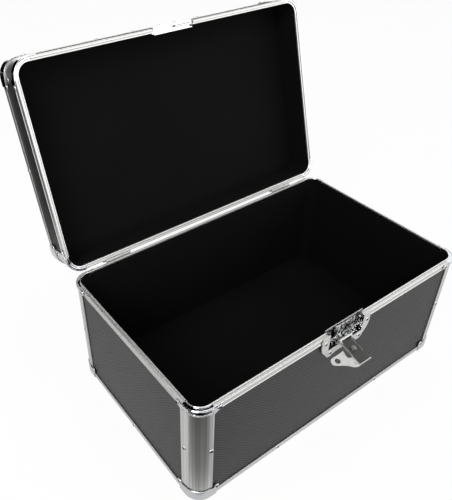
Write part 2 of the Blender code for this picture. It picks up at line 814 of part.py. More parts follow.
def latch_flap():
    """A shallow channel with a rolled tip, and a barrel at its root for the pin."""
    frame = open_flap_frame()
    across = frame @ Matrix(((0, 0, 1, 0), (1, 0, 0, 0), (0, 1, 0, 0), (0, 0, 0, 1)))
    half = flap_half_width
    inner_face = flap_floor_offset - flap_metal

    def side_plate(bm, outline, a, b):
        extrude_section(bm, [(p[0], p[1], 0) for p in outline],
                        [across @ Matrix.Translation((0, 0, a)), across @ Matrix.Translation((0, 0, b))])

    lip, near_tip = flap_flange_offset + flap_metal, flap_length - flap_metal
    floor = [(flap_floor_start, inner_face), (flap_length - flap_tip_lip, inner_face), (near_tip, lip)]
    floor += [(flap_length, lip), (flap_length, inner_face + flap_metal / 2), (near_tip, flap_floor_offset)]
    floor += [(flap_floor_start, flap_floor_offset)]
    bm = bmesh.new()
    side_plate(bm, floor, -half, half)
    flap = add_object("latch_flap", bm, chrome)
    sunk = flap_floor_offset - flap_metal / 2
    for sign in (-1, 1):
        outer, inner = sign * (half - flap_seam), sign * (half - flap_metal)
        flange = arc((0, 0), flap_barrel_radius, 120, 270, 7) + [(flap_waist_along, flap_waist_offset)]
        flange += [(flap_flange_length, flap_flange_offset), (flap_flange_length + flap_metal, sunk),
                   (flap_floor_start + flap_seam, sunk)]
        bm = bmesh.new()
        side_plate(bm, flange, min(outer, inner), max(outer, inner))
        boolean(flap, bm, "UNION")
    bm = bmesh.new()
    barrel = arc((0, 0), flap_barrel_radius - flap_seam, 0, 360, hinge_round_steps)[:-1]
    side_plate(bm, barrel, -half + 2 * flap_seam, half - 2 * flap_seam)
    boolean(flap, bm, "UNION")
    bm = bmesh.new()
    heel = flap_floor_start + flap_metal
    root = [(0, -flap_seam), (flap_barrel_radius - 2 * flap_seam, -flap_seam), (heel, inner_face + flap_seam),
            (heel, sunk), (flap_floor_start + 2 * flap_seam, sunk)]
    side_plate(bm, root, -half + 3 * flap_seam, half - 3 * flap_seam)
    boolean(flap, bm, "UNION")
    bm = bmesh.new()
    bore = arc((0, 0), flap_pin_radius + touch_gap, 0, 360, hinge_round_steps)[:-1]
    side_plate(bm, bore, -half - overrun, half + overrun)
    boolean(flap, bm, "DIFFERENCE")
    place = frame @ Matrix.Translation((0, lock_along, flap_flange_offset))
    bm = bmesh.new()
    circle = [(*p, 0) for p in arc((0, 0), lock_barrel_radius + touch_gap, 0, 360, 2 * arc_steps)[:-1]]
    extrude_section(bm, circle, [place, place @ Matrix.Translation((0, 0, flap_floor_offset))])
    boolean(flap, bm, "DIFFERENCE")


def flap_pin():
    bm = bmesh.new()
    reach = flap_half_width + touch_gap + flap_ear_thickness
    prism(bm, arc(flap_axis(), flap_pin_radius, 0, 360, hinge_round_steps)[:-1], "X", -reach, reach)
    add_object("latch_flap_pin", bm, spring_steel)


def lock():
    """The barrel that is set in the flap, and the plug that the key turns, with its cam."""
    frame = open_flap_frame() @ Matrix.Translation((0, lock_along, 0))
    inner = flap_floor_offset - flap_metal - lock_inner_height
    outer = flap_floor_offset + tab_thickness + lock_outer_height
    ring = arc((0, 0), lock_barrel_radius, 0, 360, 2 * arc_steps)[:-1]
    bore = arc((0, 0), lock_plug_radius + touch_gap, 0, 360, 2 * arc_steps)[:-1]
    bm = flat_plate("barrel", [ring, bore], outer - inner, frame @ Matrix.Translation((0, 0, inner)))
    add_object("lock_barrel", bm, zinc)
    bm = bmesh.new()
    circle = [(*p, 0) for p in arc((0, 0), lock_plug_radius, 0, 360, 2 * arc_steps)[:-1]]
    start, end = inner - touch_gap - lock_cam_thickness / 2, outer
    extrude_section(bm, circle, [frame @ Matrix.Translation((0, 0, h)) for h in (start, end)])
    plug = add_object("lock_plug", bm, zinc)
    far = lock_cam_length - lock_plug_radius
    half = lock_cam_width / 2
    heel = lock_plug_radius * lock_cam_heel_share
    outline = [(half, -heel), (half, far), (0, far + half), (-half, far), (-half, -heel)]
    cam = flat_plate("cam", [outline], lock_cam_thickness,
                     frame @ Matrix.Translation((0, 0, inner - touch_gap - lock_cam_thickness)))
    boolean(plug, cam, "UNION")
    cut = bmesh.new()
    wide, long = lock_plug_radius * lock_slot_width_share, lock_plug_radius * lock_slot_length_share
    section = [(-wide, -long, 0), (wide, -long, 0), (wide, long, 0), (-wide, long, 0)]
    ends = [frame @ Matrix.Translation((0, 0, h)) for h in (outer - overrun / 2, outer + overrun)]
    extrude_section(cut, section, ends)
    boolean(plug, cut, "DIFFERENCE")


def padlock_tab():
    """A flat tab with a large hole and a small one, under the flap's floor at its left."""
    width, length = tab_left - tab_right, tab_end - tab_start
    outline = smooth_loop([(-tab_left + u * width, tab_start + v * length) for u, v in tab_outline_shares])
    large = arc((-tab_hole_x, tab_hole_along), tab_hole_radius, 0, 360, 2 * arc_steps)[:-1]
    small = arc((-tab_small_hole_x, tab_small_hole_along), tab_small_hole_radius, 0, 360, arc_steps)[:-1]
    place = open_flap_frame() @ Matrix.Translation((0, 0, flap_floor_offset + touch_gap))
    add_object("padlock_tab", flat_plate("tab", [outline, large, small], tab_thickness, place), zinc)


def latch_hook():
    """A plate on its own pin, with a barb that takes hold of the keeper on the lid."""
    y, z = hook_axis()
    top = rim_z + hook_barb_top - z
    under = rim_z + hook_barb_bottom - z
    metal = hook_metal
    front = -metal * hook_front_share
    slope = front - hook_barb_reach * hook_barb_slope_share
    outline = [(front, -hook_tail_drop), (front, under), (front - hook_barb_reach, under), (slope, top),
               (front + metal / 2, top), (front + metal, top - metal / 2), (front + metal, -hook_tail_drop)]
    tilt = Matrix.Translation((0, y, z)) @ Matrix.Rotation(-hook_tilt, 4, "X")
    across = tilt @ Matrix(((0, 0, 1, 0), (1, 0, 0, 0), (0, 1, 0, 0), (0, 0, 0, 1)))

    def side(points, a, b):
        bm = bmesh.new()
        ends = [across @ Matrix.Translation((0, 0, h)) for h in (a, b)]
        extrude_section(bm, [(p[0], p[1], 0) for p in points], ends)
        return bm

    hook = add_object("latch_hook", side(outline, -hook_left, -hook_right), chrome)
    eye = arc((0, 0), hook_eye_radius, 0, 360, hinge_round_steps)[:-1]
    boolean(hook, side(eye, -hook_left, -hook_right), "UNION")
    bore = arc((0, 0), hook_pin_radius + touch_gap, 0, 360, hinge_round_steps)[:-1]
    boolean(hook, side(bore, -hook_left - overrun, -hook_right + overrun), "DIFFERENCE")


def hook_pin():
    bm = bmesh.new()
    reach = box_half_width - touch_gap
    prism(bm, arc(hook_axis(), hook_pin_radius, 0, 360, hinge_round_steps)[:-1], "X", -reach, reach)
    add_object("latch_hook_pin", bm, spring_steel)


def hook_spring():
    """A torsion spring round the hook's pin, with one leg up and one leg out."""
    y, z = hook_axis()
    count = spring_turns * spring_turn_points
    points = []
    for i in range(count + 1):
        share = i / count
        turn = 2 * pi * spring_turns * share
        points.append((spring_left + (spring_right - spring_left) * share,
                       y + spring_radius * cos(turn), z + spring_radius * sin(turn)))
    points.insert(0, (spring_left, y + spring_radius, z - spring_leg))
    points.append((spring_right, y + spring_radius, z + spring_leg))
    add_object("latch_hook_spring", rod("spring", points, spring_wire, 1), spring_steel)


def catch():
    """The lid's catch: a channel in the rim with a groove and a keeper, and a riveted leg."""
    face = -half_y - touch_gap
    outer = face - latch_plate_thickness
    inner = -half_y + wall + catch_inner_out
    low, top = lid_z, lid_z + catch_pocket_rise + catch_metal
    floor, roof = low + catch_metal, low + catch_pocket_rise
    front, back = -half_y, inner - catch_metal
    groove = back - catch_groove
    half = catch_half_width
    section = [(outer, low), (groove, low), (groove, floor), (front, floor), (front, roof), (back, roof),
               (back, low), (inner, low), (inner, top), (outer, top)]
    bm = bmesh.new()
    prism(bm, section, "X", -half, half)
    plate = add_object("lid_catch", bm, chrome)
    leg, c = catch_leg_half_width, catch_corner
    root = low + catch_pocket_rise / 2
    shoulder = top + c / 2
    tip = low + catch_leg_rise - c
    outline = [(-leg - c, root), (leg + c, root), (leg, shoulder)]
    outline += arc((leg - c, tip), c, 0, 90, 4) + arc((-leg + c, tip), c, 90, 180, 4) + [(-leg, shoulder)]
    bm = bmesh.new()
    prism(bm, outline, "Y", outer, face)
    boolean(plate, bm, "UNION")
    keeper = front + catch_keeper_reach
    cut_box(plate, (-catch_slot_left, keeper, low - overrun),
            (catch_slot_right, groove + catch_metal, floor + catch_metal))
    bm = bmesh.new()
    centre = (keeper + catch_bead_radius, low + catch_metal / 2)
    prism(bm, arc(centre, catch_bead_radius, 0, 360, hinge_round_steps)[:-1], "X",
          catch_slot_right + catch_metal, half - catch_bead_inset)
    boolean(plate, bm, "UNION")


def notch_for_latch():
    """Clear the front rims, panels and the base's lining for the latch's box and the lid's catch."""
    near, far = -half_y - overrun, -half_y + wall + overrun
    gap = touch_gap
    x = box_half_width + gap
    for name in ("base_rim", "base_front_panel", "base_lining"):
        cut_box(bpy.data.objects[name], (-x, near, rim_z - box_depth_below - box_wall - gap),
                (x, far, rim_z + overrun))
    x = box_lip_half_width + gap
    behind = -half_y + wall - box_wall - gap
    cut_box(bpy.data.objects["base_rim"], (-x, behind, rim_z - 2 * window_top_drop - gap),
            (x, far, rim_z + overrun))
    x = catch_half_width + gap
    for name in ("lid_rim", "lid_front_panel"):
        cut_box(bpy.data.objects[name], (-x, near, lid_z - overrun),
                (x, far, lid_z + catch_pocket_rise + catch_metal + gap))
    x = box_lip_half_width + gap
    cut_box(bpy.data.objects["lid_rim"], (-x, near + overrun + 2 * gap, lid_z - overrun),
            (x, far, lid_z + box_lip_rise + gap))


# Handle

def handle_axis():
    return 0, lid_face + handle_pivot_rise


def handle_brackets():
    """A riveted foot at each end, with an ear that the bail turns in."""
    y, z = handle_axis()
    for side, sign in (("left", -1), ("right", 1)):
        x = sign * handle_half_span
        outline = rounded_rectangle(bracket_length, bracket_width, bracket_corner, 4)
        place = Matrix.Translation((x + sign * bracket_length / 4, y, lid_face + touch_gap))
        plate = flat_plate("foot", [outline], bracket_metal, place)
        foot = add_object("handle_bracket_" + side, plate, chrome)
        reach, root = bracket_ear_radius * bracket_foot_share, lid_face + touch_gap + bracket_metal / 2
        profile = arc((y, z), bracket_ear_radius, 0, 180, 8) + [(y - reach, root), (y + reach, root)]
        a, b = sorted((x, x + sign * bracket_ear_thickness))
        bm = bmesh.new()
        prism(bm, profile, "X", a, b)
        boolean(foot, bm, "UNION")
        bm = bmesh.new()
        bore = arc((y, z), handle_rod_radius + touch_gap, 0, 360, 2 * arc_steps)[:-1]
        prism(bm, bore, "X", a - overrun, b + overrun)
        boolean(foot, bm, "DIFFERENCE")


def handle():
    """A steel bail through both ears, with a moulded grip on its crossbar."""
    y, z = handle_axis()
    lean = Matrix.Translation((0, y, z)) @ Matrix.Rotation(handle_hang_angle, 4, "X")
    half = handle_half_span - handle_rod_radius - handle_ear_clearance
    end = handle_half_span + bracket_ear_thickness + handle_rod_end
    bend = handle_bend
    right = [(end, 0), (half + handle_rod_radius, 0), (half, handle_rod_radius)]
    right += [(half - bend + bend * cos(radians(a)), handle_arm - bend + bend * sin(radians(a)))
              for a in range(0, 91, 18)]
    path = right + [(-x, h) for x, h in reversed(right)]
    points = [lean @ Vector((x, h, 0)) for x, h in path]
    add_object("handle_bail", rod("bail", points, handle_rod_radius, 2), chrome)
    lower = handle_rod_radius + touch_gap
    r, round_off, long = handle_grip_radius, handle_grip_round, handle_grip_length / 2
    swell, middle = r * handle_grip_swell_share, long * handle_grip_middle_share
    profile = [(lower, long), (r - round_off, long), (r, long - round_off), (swell, middle), (swell, -middle),
               (r, -long + round_off), (r - round_off, -long), (lower, -long), (lower, long)]
    place = lean @ Matrix.Translation((0, handle_arm, 0)) @ Matrix.Rotation(pi / 2, 4, "Y")
    add_object("handle_grip", turned("grip", profile, place, 2 * arc_steps), grip_plastic)


def set_axis(names, place, name, parent=None, turn=0.0):
    """Hang parts from an empty whose X is their joint's axis, and turn it to the stored pose."""
    empty = bpy.data.objects.new(name, None)
    case.objects.link(empty)
    empty.location = place.to_translation()
    empty.rotation_euler = place.to_euler()
    if parent:
        empty.parent = parent
        empty.matrix_parent_inverse = Matrix.Translation(parent.location).inverted()
    for part in names:
        obj = bpy.data.objects[part]
        obj.parent = empty
        obj.matrix_parent_inverse = place.inverted()
    empty.rotation_euler.x += turn
    return empty


def build():
    shell(base)
    shell(lid)
    notch_for_latch()
    for half in (base, lid):
        notch_for_hinges(half, bpy.data.objects[half.name + "_rim"])
        for side in ("left", "right"):
            hinge_leaf(half, side)
    for side in ("left", "right"):
        hinge_pin(side)
    latch_base()
    latch_flap()
    flap_pin()
    lock()
    padlock_tab()
    latch_hook()
    hook_pin()
    hook_spring()
    catch()
    handle_brackets()
    handle()
    lid_parts = [o.name for o in case.objects if o.name.startswith(("lid_", "handle_bracket"))]
    swing = set_axis(lid_parts, Matrix.Translation((0, hinge_y, hinge_z)), "lid axis", None, -lid_open_angle)
    set_axis(["handle_bail", "handle_grip"], Matrix.Translation((0, *handle_axis())), "handle axis", swing)
    lever_parts = ["latch_flap", "padlock_tab", "lock_barrel"]
    lever = set_axis(lever_parts, Matrix.Translation((0, *flap_axis())), "flap axis")
    plug_place = open_flap_frame() @ Matrix.Translation((0, lock_along, 0)) @ Matrix.Rotation(-pi / 2, 4, "Y")
    set_axis(["lock_plug"], plug_place, "plug axis", lever)
    set_axis(["latch_hook"], Matrix.Translation((0, *hook_axis())), "hook axis")


build()
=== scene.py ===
"""Dresses a record carrying case: extrusions, chromed corners, latch, hinges, handle and rivets.

Lengths are in metres, in the case's own frame: +Z up and the front towards -Y.
The lid's pieces are made shut and then turned open about its hinge.
"""

import json
from collections import namedtuple
from math import copysign, cos, pi, radians, sin

import bmesh
import bpy
from mathutils import Matrix, Vector
from mathutils.bvhtree import BVHTree

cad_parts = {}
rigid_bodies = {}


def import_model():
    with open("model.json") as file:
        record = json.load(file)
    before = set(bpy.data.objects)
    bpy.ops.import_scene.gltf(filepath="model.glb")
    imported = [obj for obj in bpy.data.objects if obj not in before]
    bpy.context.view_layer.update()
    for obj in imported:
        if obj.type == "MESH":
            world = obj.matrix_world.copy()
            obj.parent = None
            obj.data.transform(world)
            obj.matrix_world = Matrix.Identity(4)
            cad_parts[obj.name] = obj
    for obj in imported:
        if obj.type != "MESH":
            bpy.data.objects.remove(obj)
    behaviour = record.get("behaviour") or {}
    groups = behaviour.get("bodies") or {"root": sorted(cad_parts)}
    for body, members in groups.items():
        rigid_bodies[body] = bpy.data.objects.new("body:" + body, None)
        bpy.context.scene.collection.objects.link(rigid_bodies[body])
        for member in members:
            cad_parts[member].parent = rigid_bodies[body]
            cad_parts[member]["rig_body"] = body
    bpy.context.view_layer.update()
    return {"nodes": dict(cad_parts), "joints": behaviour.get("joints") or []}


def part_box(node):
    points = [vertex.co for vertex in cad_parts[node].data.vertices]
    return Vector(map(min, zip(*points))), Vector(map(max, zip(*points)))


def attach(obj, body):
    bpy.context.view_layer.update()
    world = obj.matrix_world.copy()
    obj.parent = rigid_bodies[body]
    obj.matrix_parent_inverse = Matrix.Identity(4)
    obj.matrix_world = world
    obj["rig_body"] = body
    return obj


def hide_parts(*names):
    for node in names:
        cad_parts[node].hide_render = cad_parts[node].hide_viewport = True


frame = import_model()

bl_info = {
    "name": "Record carrying case",
    "version": (1, 0, 0),
    "blender": (4, 5, 0),
    "location": "3D View > Sidebar > Case",
    "description": "Dresses a record carrying case with its finishes, corners, fittings and rivets",
    "category": "Object",
}

# The case, read from the frame
joints = {joint["name"]: joint for joint in frame["joints"]}
half_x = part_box("base_rim")[1].x
half_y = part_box("base_rim")[1].y
base_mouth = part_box("base_rim")[1].z
floor_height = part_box("base_corner_cap_front_left")[0].z
hinge = Vector(joints["lid_hinge"]["pos_m"])
lid_open = radians(joints["lid_hinge"]["range_deg"][1])
lid_place = Matrix.Translation(hinge) @ Matrix.Rotation(-lid_open, 4, "X") @ Matrix.Translation(-hinge)

# Sizes that the solids share: the case, its rims and its wall
touch_gap = 0.0003
corner_radius = 0.0190
base_height = 0.1520
lid_height = 0.0470
rim_height = 0.0095
rim_inner_leg = 0.0068
rim_leg = 0.0010
rim_web = 0.0016
rim_shoulder = 0.0009
rim_seam = 0.0006
rim_cover = 0.0024
lining_out = 0.0040
wall = 0.00485
tongue_height = 0.0015
tongue_width = 0.0014
groove_clearance = 0.0006
bead_height = 0.0018
bead_relief = 0.0004
bead_groove = 0.0003

# What the rims leave free for the latch, the catch and the hinges
latch_reach = 0.0271
catch_reach = 0.0273
catch_depth = 0.0061
lip_reach = 0.0288
lip_depth = 0.0033
lip_wall = 0.0011
rim_cut = 0.0006
knuckle_room = 0.0022

# How much further the outer caps and the posts' legs are drawn than their solids
cap_foot = 0.0042
wall_raise = 0.0075
ear_raise = 0.0045
leg_more = 0.0025

# How near an edge of the flap a face lies to take the pale plate as a painted highlight
painted_highlight_edge = 0.0010

# Where the rim's chromed corners start, how far they swell and the gap beside them
corner_joint = 0.0215
joint_step = 0.00012
joint_gap = 0.00015

Half = namedtuple("Half", "name body mouth away height place")
halves = (
    Half("base", "base", base_mouth, -1, base_height, Matrix.Identity(4)),
    Half("lid", "lid", base_mouth + touch_gap, 1, lid_height, lid_place),
)


# Colours

def srgb(text):
    """A hex sRGB colour as linear red, green, blue and alpha."""
    parts = [int(text[i:i + 2], 16) / 255 for i in (1, 3, 5)]
    return (*[p / 12.92 if p <= 0.04045 else ((p + 0.055) / 1.055) ** 2.4 for p in parts], 1.0)


white = srgb("#ffffff")


def colour(name, description, text):
    """A colour that a user may change, from its hex text."""
    return bpy.props.FloatVectorProperty(
        name=name, description=description, size=4, subtype="COLOR", min=0, max=1, default=srgb(text))


def length(name, description, value):
    """A length that a user may change, in metres."""
    return bpy.props.FloatProperty(
        name=name, description=description, default=value, min=0, unit="LENGTH", precision=5)


class CaseSizes(bpy.types.PropertyGroup):
    rivet_radius: length("Rivet radius", "Radius of a rivet's flange", 0.0029)
    rivet_rise: length("Rivet rise", "Height of a rivet's dome", 0.0008)
    rivet_pit: length("Rivet pit", "Radius of the pit where the mandrel broke off", 0.0016)
    edge_round: length("Edge round", "Width of the round on pressed and extruded edges", 0.0002)
    dimple_pitch: length("Dimple pitch", "Distance between the dimples of the faced board", 0.0028)
    corner_steps: bpy.props.IntProperty(
        name="Corner steps", description="Steps round each corner of the case", default=20, min=4, max=64)


class CaseColours(bpy.types.PropertyGroup):
    board: colour("Board", "Plastic sheet on the panels", "#3c3c3c")
    # Painted shade between the board's dimples, and the painted black of the latch's reflections
    painted_shade_and_reflection: colour("Board valleys", "The same sheet between its dimples", "#060606")
    lining: colour("Lining", "Sheet inside the case", "#030303")
    aluminium: colour("Aluminium", "Satin extrusions", "#ececea")
    chrome: colour("Chrome", "Polished corners and catch", "#e4e5e8")
    plate: colour("Plate", "Plated latch and hinges", "#dededc")
    steel: colour("Steel", "Pins and springs", "#a2a2a0")
    grip: colour("Grip", "Moulded handle grip", "#17171a")


# Materials

def add(tree, kind, links=None, **settings):
    """Add a node; links gives its inputs, each a value or another node's output."""
    made = tree.nodes.new(kind)
    for key, value in settings.items():
        setattr(made, key, value)
    for key, value in (links or {}).items():
        if isinstance(value, bpy.types.NodeSocket):
            tree.links.new(value, made.inputs[key])
        else:
            made.inputs[key].default_value = value
    return made


def start_material(name, base, metallic, roughness):
    """A material with its shader's plain values set."""
    mat = bpy.data.materials.new(name)
    mat.use_nodes = True
    tree = mat.node_tree
    shader = tree.nodes["Principled BSDF"]
    shader.inputs["Base Color"].default_value = base
    shader.inputs["Metallic"].default_value = metallic
    shader.inputs["Roughness"].default_value = roughness
    return mat, tree, shader


def ramp(tree, source, split, first, second):
    """Mix two colours over the part of a source's range that split gives."""
    made = add(tree, "ShaderNodeMapRange", {"Value": source, "From Min": split[0], "From Max": split[1]})
    mix = add(tree, "ShaderNodeMix", {0: made.outputs["Result"], 6: first, 7: second}, data_type="RGBA")
    return mix.outputs[2]


def spread(tree, source, ends):
    """Bring a 0 to 1 source into the range between two ends."""
    made = add(tree, "ShaderNodeMapRange", {"Value": source, "To Min": ends[0], "To Max": ends[1]})
    return made.outputs["Result"]


def cloudy(tree, size, layers, edge=0.5):
    """Noise of one size in the case's own space."""
    where = add(tree, "ShaderNodeTexCoord")
    return add(tree, "ShaderNodeTexNoise",
               {"Vector": where.outputs["Object"], "Scale": 1 / size, "Detail": layers,
                "Roughness": edge}).outputs["Fac"]


def dress(tree, shader, tint, rise, rough=None):
    """Join a pattern's colour, its relief and, where it has one, its roughness to the shader."""
    tree.links.new(tint, shader.inputs["Base Color"])
    tree.links.new(rise.outputs["Normal"], shader.inputs["Normal"])
    if rough is not None:
        tree.links.new(rough, shader.inputs["Roughness"])


def shade(base, share):
    """A colour made lighter or darker by a share."""
    return (*[c * share for c in base[:3]], 1.0)


# Sizes of the patterns, as real lengths
mottle_size = 0.1111
foam_cloud = 0.07143
foam_tooth = 0.001111
line_run = 0.08333
band_run = 0.3333
band_lines = 5
smear_size = 0.01667
ripple_size = 0.004545
form_size = 0.0030303
grain_size = 0.000625

# How many finer layers each pattern has, and how strong they are in the pressing
mottle_layers, foam_layers, tooth_layers = 3.0, 4.0, 2.0
line_layers, band_layers, smear_layers, ripple_layers = 4.0, 2.0, 3.0, 1.0
form_layers, form_edge = 2.0, 0.6

# Depths of the patterns, and how much of each the light shows
dimple_share = 0.2
dimple_strength = 0.8
foam_depth = 0.0002
line_depth = 0.00002
form_depth = 0.0008
grain_depth = 0.0001
fine_strength = 0.4
metal_strength = 0.5
form_strength = 0.6

# Where each pattern's two tones part, and the lighter or darker tone's share of the colour
mottle_split, mottle_tone = (0.3, 0.7), 1.18
# Where the painted shade between the dimples starts and where it is full
dimple_painted_shade_split = (0.18, 0.36)
foam_split, foam_tone = (0.35, 0.7), 1.7
band_split, band_tone = (0.35, 0.65), 0.74
smear_split, smear_tone = (0.3, 0.7), 0.92
# Where the painted black reflections of the chromed pressing give way to chrome
painted_reflection_split = (0.47, 0.57)
grain_split, grain_tone = (0.1, 0.6), 1.5

# Roughness, from and to, and the foam's faint gloss
sheet_rough = (0.34, 0.46)
form_rough = (0.06, 0.2)
foam_rough, foam_gloss = 0.9, 0.15
grip_rough = 0.55


def faced_board(colours):
    """Black ABS sheet rolled with a fine diamond grain: dull, with a soft glint on each dimple and painted
    shade between the dimples.
    """
    pitch = bpy.context.scene.case_sizes.dimple_pitch
    mat, tree, shader = start_material("diamond grained plastic sheet", colours.board, 0.0, sheet_rough[0])
    uv = add(tree, "ShaderNodeUVMap", uv_map="UVMap")
    turn = add(tree, "ShaderNodeMapping", {"Vector": uv.outputs["UV"], "Rotation": (0, 0, pi / 4)})
    cells = add(tree, "ShaderNodeTexVoronoi",
                {"Vector": turn.outputs["Vector"], "Scale": 1 / pitch, "Randomness": 0.0},
                voronoi_dimensions="2D", distance="CHEBYCHEV")
    far = cells.outputs["Distance"]
    mottle = add(tree, "ShaderNodeTexNoise",
                 {"Vector": uv.outputs["UV"], "Scale": 1 / mottle_size, "Detail": mottle_layers})
    grain = mottle.outputs["Fac"]
    worn = ramp(tree, grain, mottle_split, colours.board, shade(colours.board, mottle_tone))
    # Painted shade: the valleys between the dimples take the near-black colour
    tint = ramp(tree, far, dimple_painted_shade_split, worn, colours.painted_shade_and_reflection)
    rise = add(tree, "ShaderNodeBump",
               {"Height": far, "Distance": pitch * dimple_share, "Strength": dimple_strength}, invert=True)
    dress(tree, shader, tint, rise, spread(tree, grain, sheet_rough))
    return mat


def foam_sheet(colours):
    """Matt black foam sheet: almost no gloss, a faint cloudiness and a very fine tooth."""
    mat, tree, shader = start_material("black foam sheet", colours.lining, 0.0, foam_rough)
    shader.inputs["Specular IOR Level"].default_value = foam_gloss
    cloud = cloudy(tree, foam_cloud, foam_layers)
    tooth = cloudy(tree, foam_tooth, tooth_layers)
    tint = ramp(tree, cloud, foam_split, colours.lining, shade(colours.lining, foam_tone))
    rise = add(tree, "ShaderNodeBump", {"Height": tooth, "Distance": foam_depth, "Strength": fine_strength})
    dress(tree, shader, tint, rise)
    return mat


def drawn_metal(name, base, rough, line):
    """Metal with fine lines along its length, as a die or a roller leaves them."""
    mat, tree, shader = start_material(name, base, 1.0, sum(rough) / 2)
    uv = add(tree, "ShaderNodeUVMap", uv_map="UVMap")

    def lines(run, width, layers):
        """Noise drawn out along the piece."""
        long = add(tree, "ShaderNodeMapping",
                   {"Vector": uv.outputs["UV"], "Scale": (1 / run, 1 / width, 1.0)})
        return add(tree, "ShaderNodeTexNoise",
                   {"Vector": long.outputs["Vector"], "Scale": 1.0, "Detail": layers},
                   noise_dimensions="2D").outputs["Fac"]

    streak = lines(line_run, line, line_layers)
    band = lines(band_run, line * band_lines, band_layers)
    tint = ramp(tree, band, band_split, shade(base, band_tone), base)
    rise = add(tree, "ShaderNodeBump", {"Height": streak, "Distance": line_depth, "Strength": metal_strength})
    dress(tree, shader, tint, rise, spread(tree, streak, rough))
    return mat


def plated_metal(name, base, rough, ripple):
    """Plating on pressed steel: cloudy gloss and the faint ripple of the pressing under it."""
    mat, tree, shader = start_material(name, base, 1.0, sum(rough) / 2)
    smear = cloudy(tree, smear_size, smear_layers)
    wave = cloudy(tree, ripple_size, ripple_layers)
    tint = ramp(tree, smear, smear_split, shade(base, smear_tone), base)
    rise = add(tree, "ShaderNodeBump", {"Height": wave, "Distance": ripple, "Strength": metal_strength})
    dress(tree, shader, tint, rise, spread(tree, smear, rough))
    return mat


def painted_reflection_chrome(colours):
    """Chromed pressing full of small forms in its relief, its colour painted in broken black and white
    patches as painted reflections.
    """
    mat, tree, shader = start_material("chromed pressing", colours.chrome, 1.0, form_rough[1])
    forms = cloudy(tree, form_size, form_layers, form_edge)
    # Painted reflections: broken black patches painted into the chrome
    tint = ramp(tree, forms, painted_reflection_split, colours.painted_shade_and_reflection, colours.chrome)
    rise = add(tree, "ShaderNodeBump", {"Height": forms, "Distance": form_depth, "Strength": form_strength})
    dress(tree, shader, tint, rise, spread(tree, forms, form_rough))
    return mat


def grip_plastic(colours):
    """Moulded polypropylene with an eroded grain: soft black with a broad dull highlight."""
    mat, tree, shader = start_material("moulded polypropylene", colours.grip, 0.0, grip_rough)
    where = add(tree, "ShaderNodeTexCoord")
    grain = add(tree, "ShaderNodeTexVoronoi",
                {"Vector": where.outputs["Object"], "Scale": 1 / grain_size}).outputs["Distance"]
    tint = ramp(tree, grain, grain_split, colours.grip, shade(colours.grip, grain_tone))
    rise = add(tree, "ShaderNodeBump", {"Height": grain, "Distance": grain_depth, "Strength": fine_strength})
    dress(tree, shader, tint, rise)
    return mat


# Sheets and mouldings, each made by its own function
others = {"board": faced_board, "lining": foam_sheet, "pressing": painted_reflection_chrome, "grip": grip_plastic}

# Drawn metals: name, roughness from and to, and the width of a line
drawn_metals = {
    # Soft pale highlights with faint lines along each length
    "aluminium": ("satin anodised aluminium", (0.36, 0.5), 0.0003333),
    # Tighter highlights, which run up the round corners as light and dark bands
    "post": ("satin anodised aluminium post", (0.26, 0.36), 0.0005556),
}

# Plated metals: name, colour and its share, roughness from and to, and the depth of the ripple
plated_metals = {
    # Nearly a mirror, so black and white lie side by side
    "chrome": ("polished chromium plate", "chrome", 1.0, (0.05, 0.10), 0.00002),
    # Even pale grey without mirror images
    "plate": ("dull nickel plate", "plate", 1.0, (0.46, 0.6), 0.00003),
    # Smoky grey with a soft sheen
    "lever": ("dark nickel plate", "steel", 0.35, (0.24, 0.36), 0.00003),
    # Pale, with blurred mirror images
    "pressed": ("satin chromium plate", "chrome", 1.0, (0.12, 0.2), 0.00001),
    # Mid grey wire with a thin highlight
    "steel": ("drawn spring steel", "steel", 1.0, (0.25, 0.40), 0.00001),
}

finishes = {}


def finish(name):
    """The finish of that name, made the first time it is asked for."""
    colours = bpy.context.scene.case_colours
    if name in finishes:
        return finishes[name]
    if name in drawn_metals:
        title, rough, line = drawn_metals[name]
        made = drawn_metal(title, colours.aluminium, rough, line)
    elif name in plated_metals:
        title, tone, share, rough, ripple = plated_metals[name]
        made = plated_metal(title, shade(getattr(colours, tone), share), rough, ripple)
    else:
        made = others[name](colours)
    finishes[name] = made
    return made


# Meshes

def arc(centre, radius, first, last, steps):
    """Points along a circle from one angle to another, in degrees."""
    angles = [radians(first + (last - first) * i / steps) for i in range(steps + 1)]
    return [(centre[0] + radius * cos(a), centre[1] + radius * sin(a)) for a in angles]


def sweep(bm, section, stations, covered=None):
    """Carry a closed section through matrices, with a UV map in metres: along, then round."""
    layer = bm.loops.layers.uv.new("UVMap")
    rows = [[bm.verts.new(m @ Vector(p)) for p in section] for m in stations]
    count = len(section)
    round_lengths = [0.0]
    for i in range(count):
        step = (Vector(section[(i + 1) % count]) - Vector(section[i])).length
        round_lengths.append(round_lengths[-1] + step)
    along = 0.0
    for before, after in zip(rows, rows[1:]):
        step = max((a.co - b.co).length for a, b in zip(before, after))
        for i in range(count):
            j = (i + 1) % count
            face = bm.faces.new((before[i], before[j], after[j], after[i]))
            face.material_index = 1 if i == covered else 0
            corners = ((along, round_lengths[i]), (along, round_lengths[i + 1]),
                       (along + step, round_lengths[i + 1]), (along + step, round_lengths[i]))
            for loop, uv in zip(face.loops, corners):
                loop[layer].uv = uv
        along += step
    for row in (rows[0], rows[-1]):
        bm.faces.new(row)


sharp_angle = radians(35)
flat_angle = radians(1)
edge_steps = 2


def round_edges(bm, width):
    """Round a mesh's sharp edges by a width, if it has one."""
    if width:
        sharps = [e for e in bm.edges if len(e.link_faces) == 2 and e.calc_face_angle(0) > sharp_angle]
        bmesh.ops.bevel(bm, geom=sharps, offset=width, segments=edge_steps, affect="EDGES", profile=0.5,
                        clamp_overlap=True)


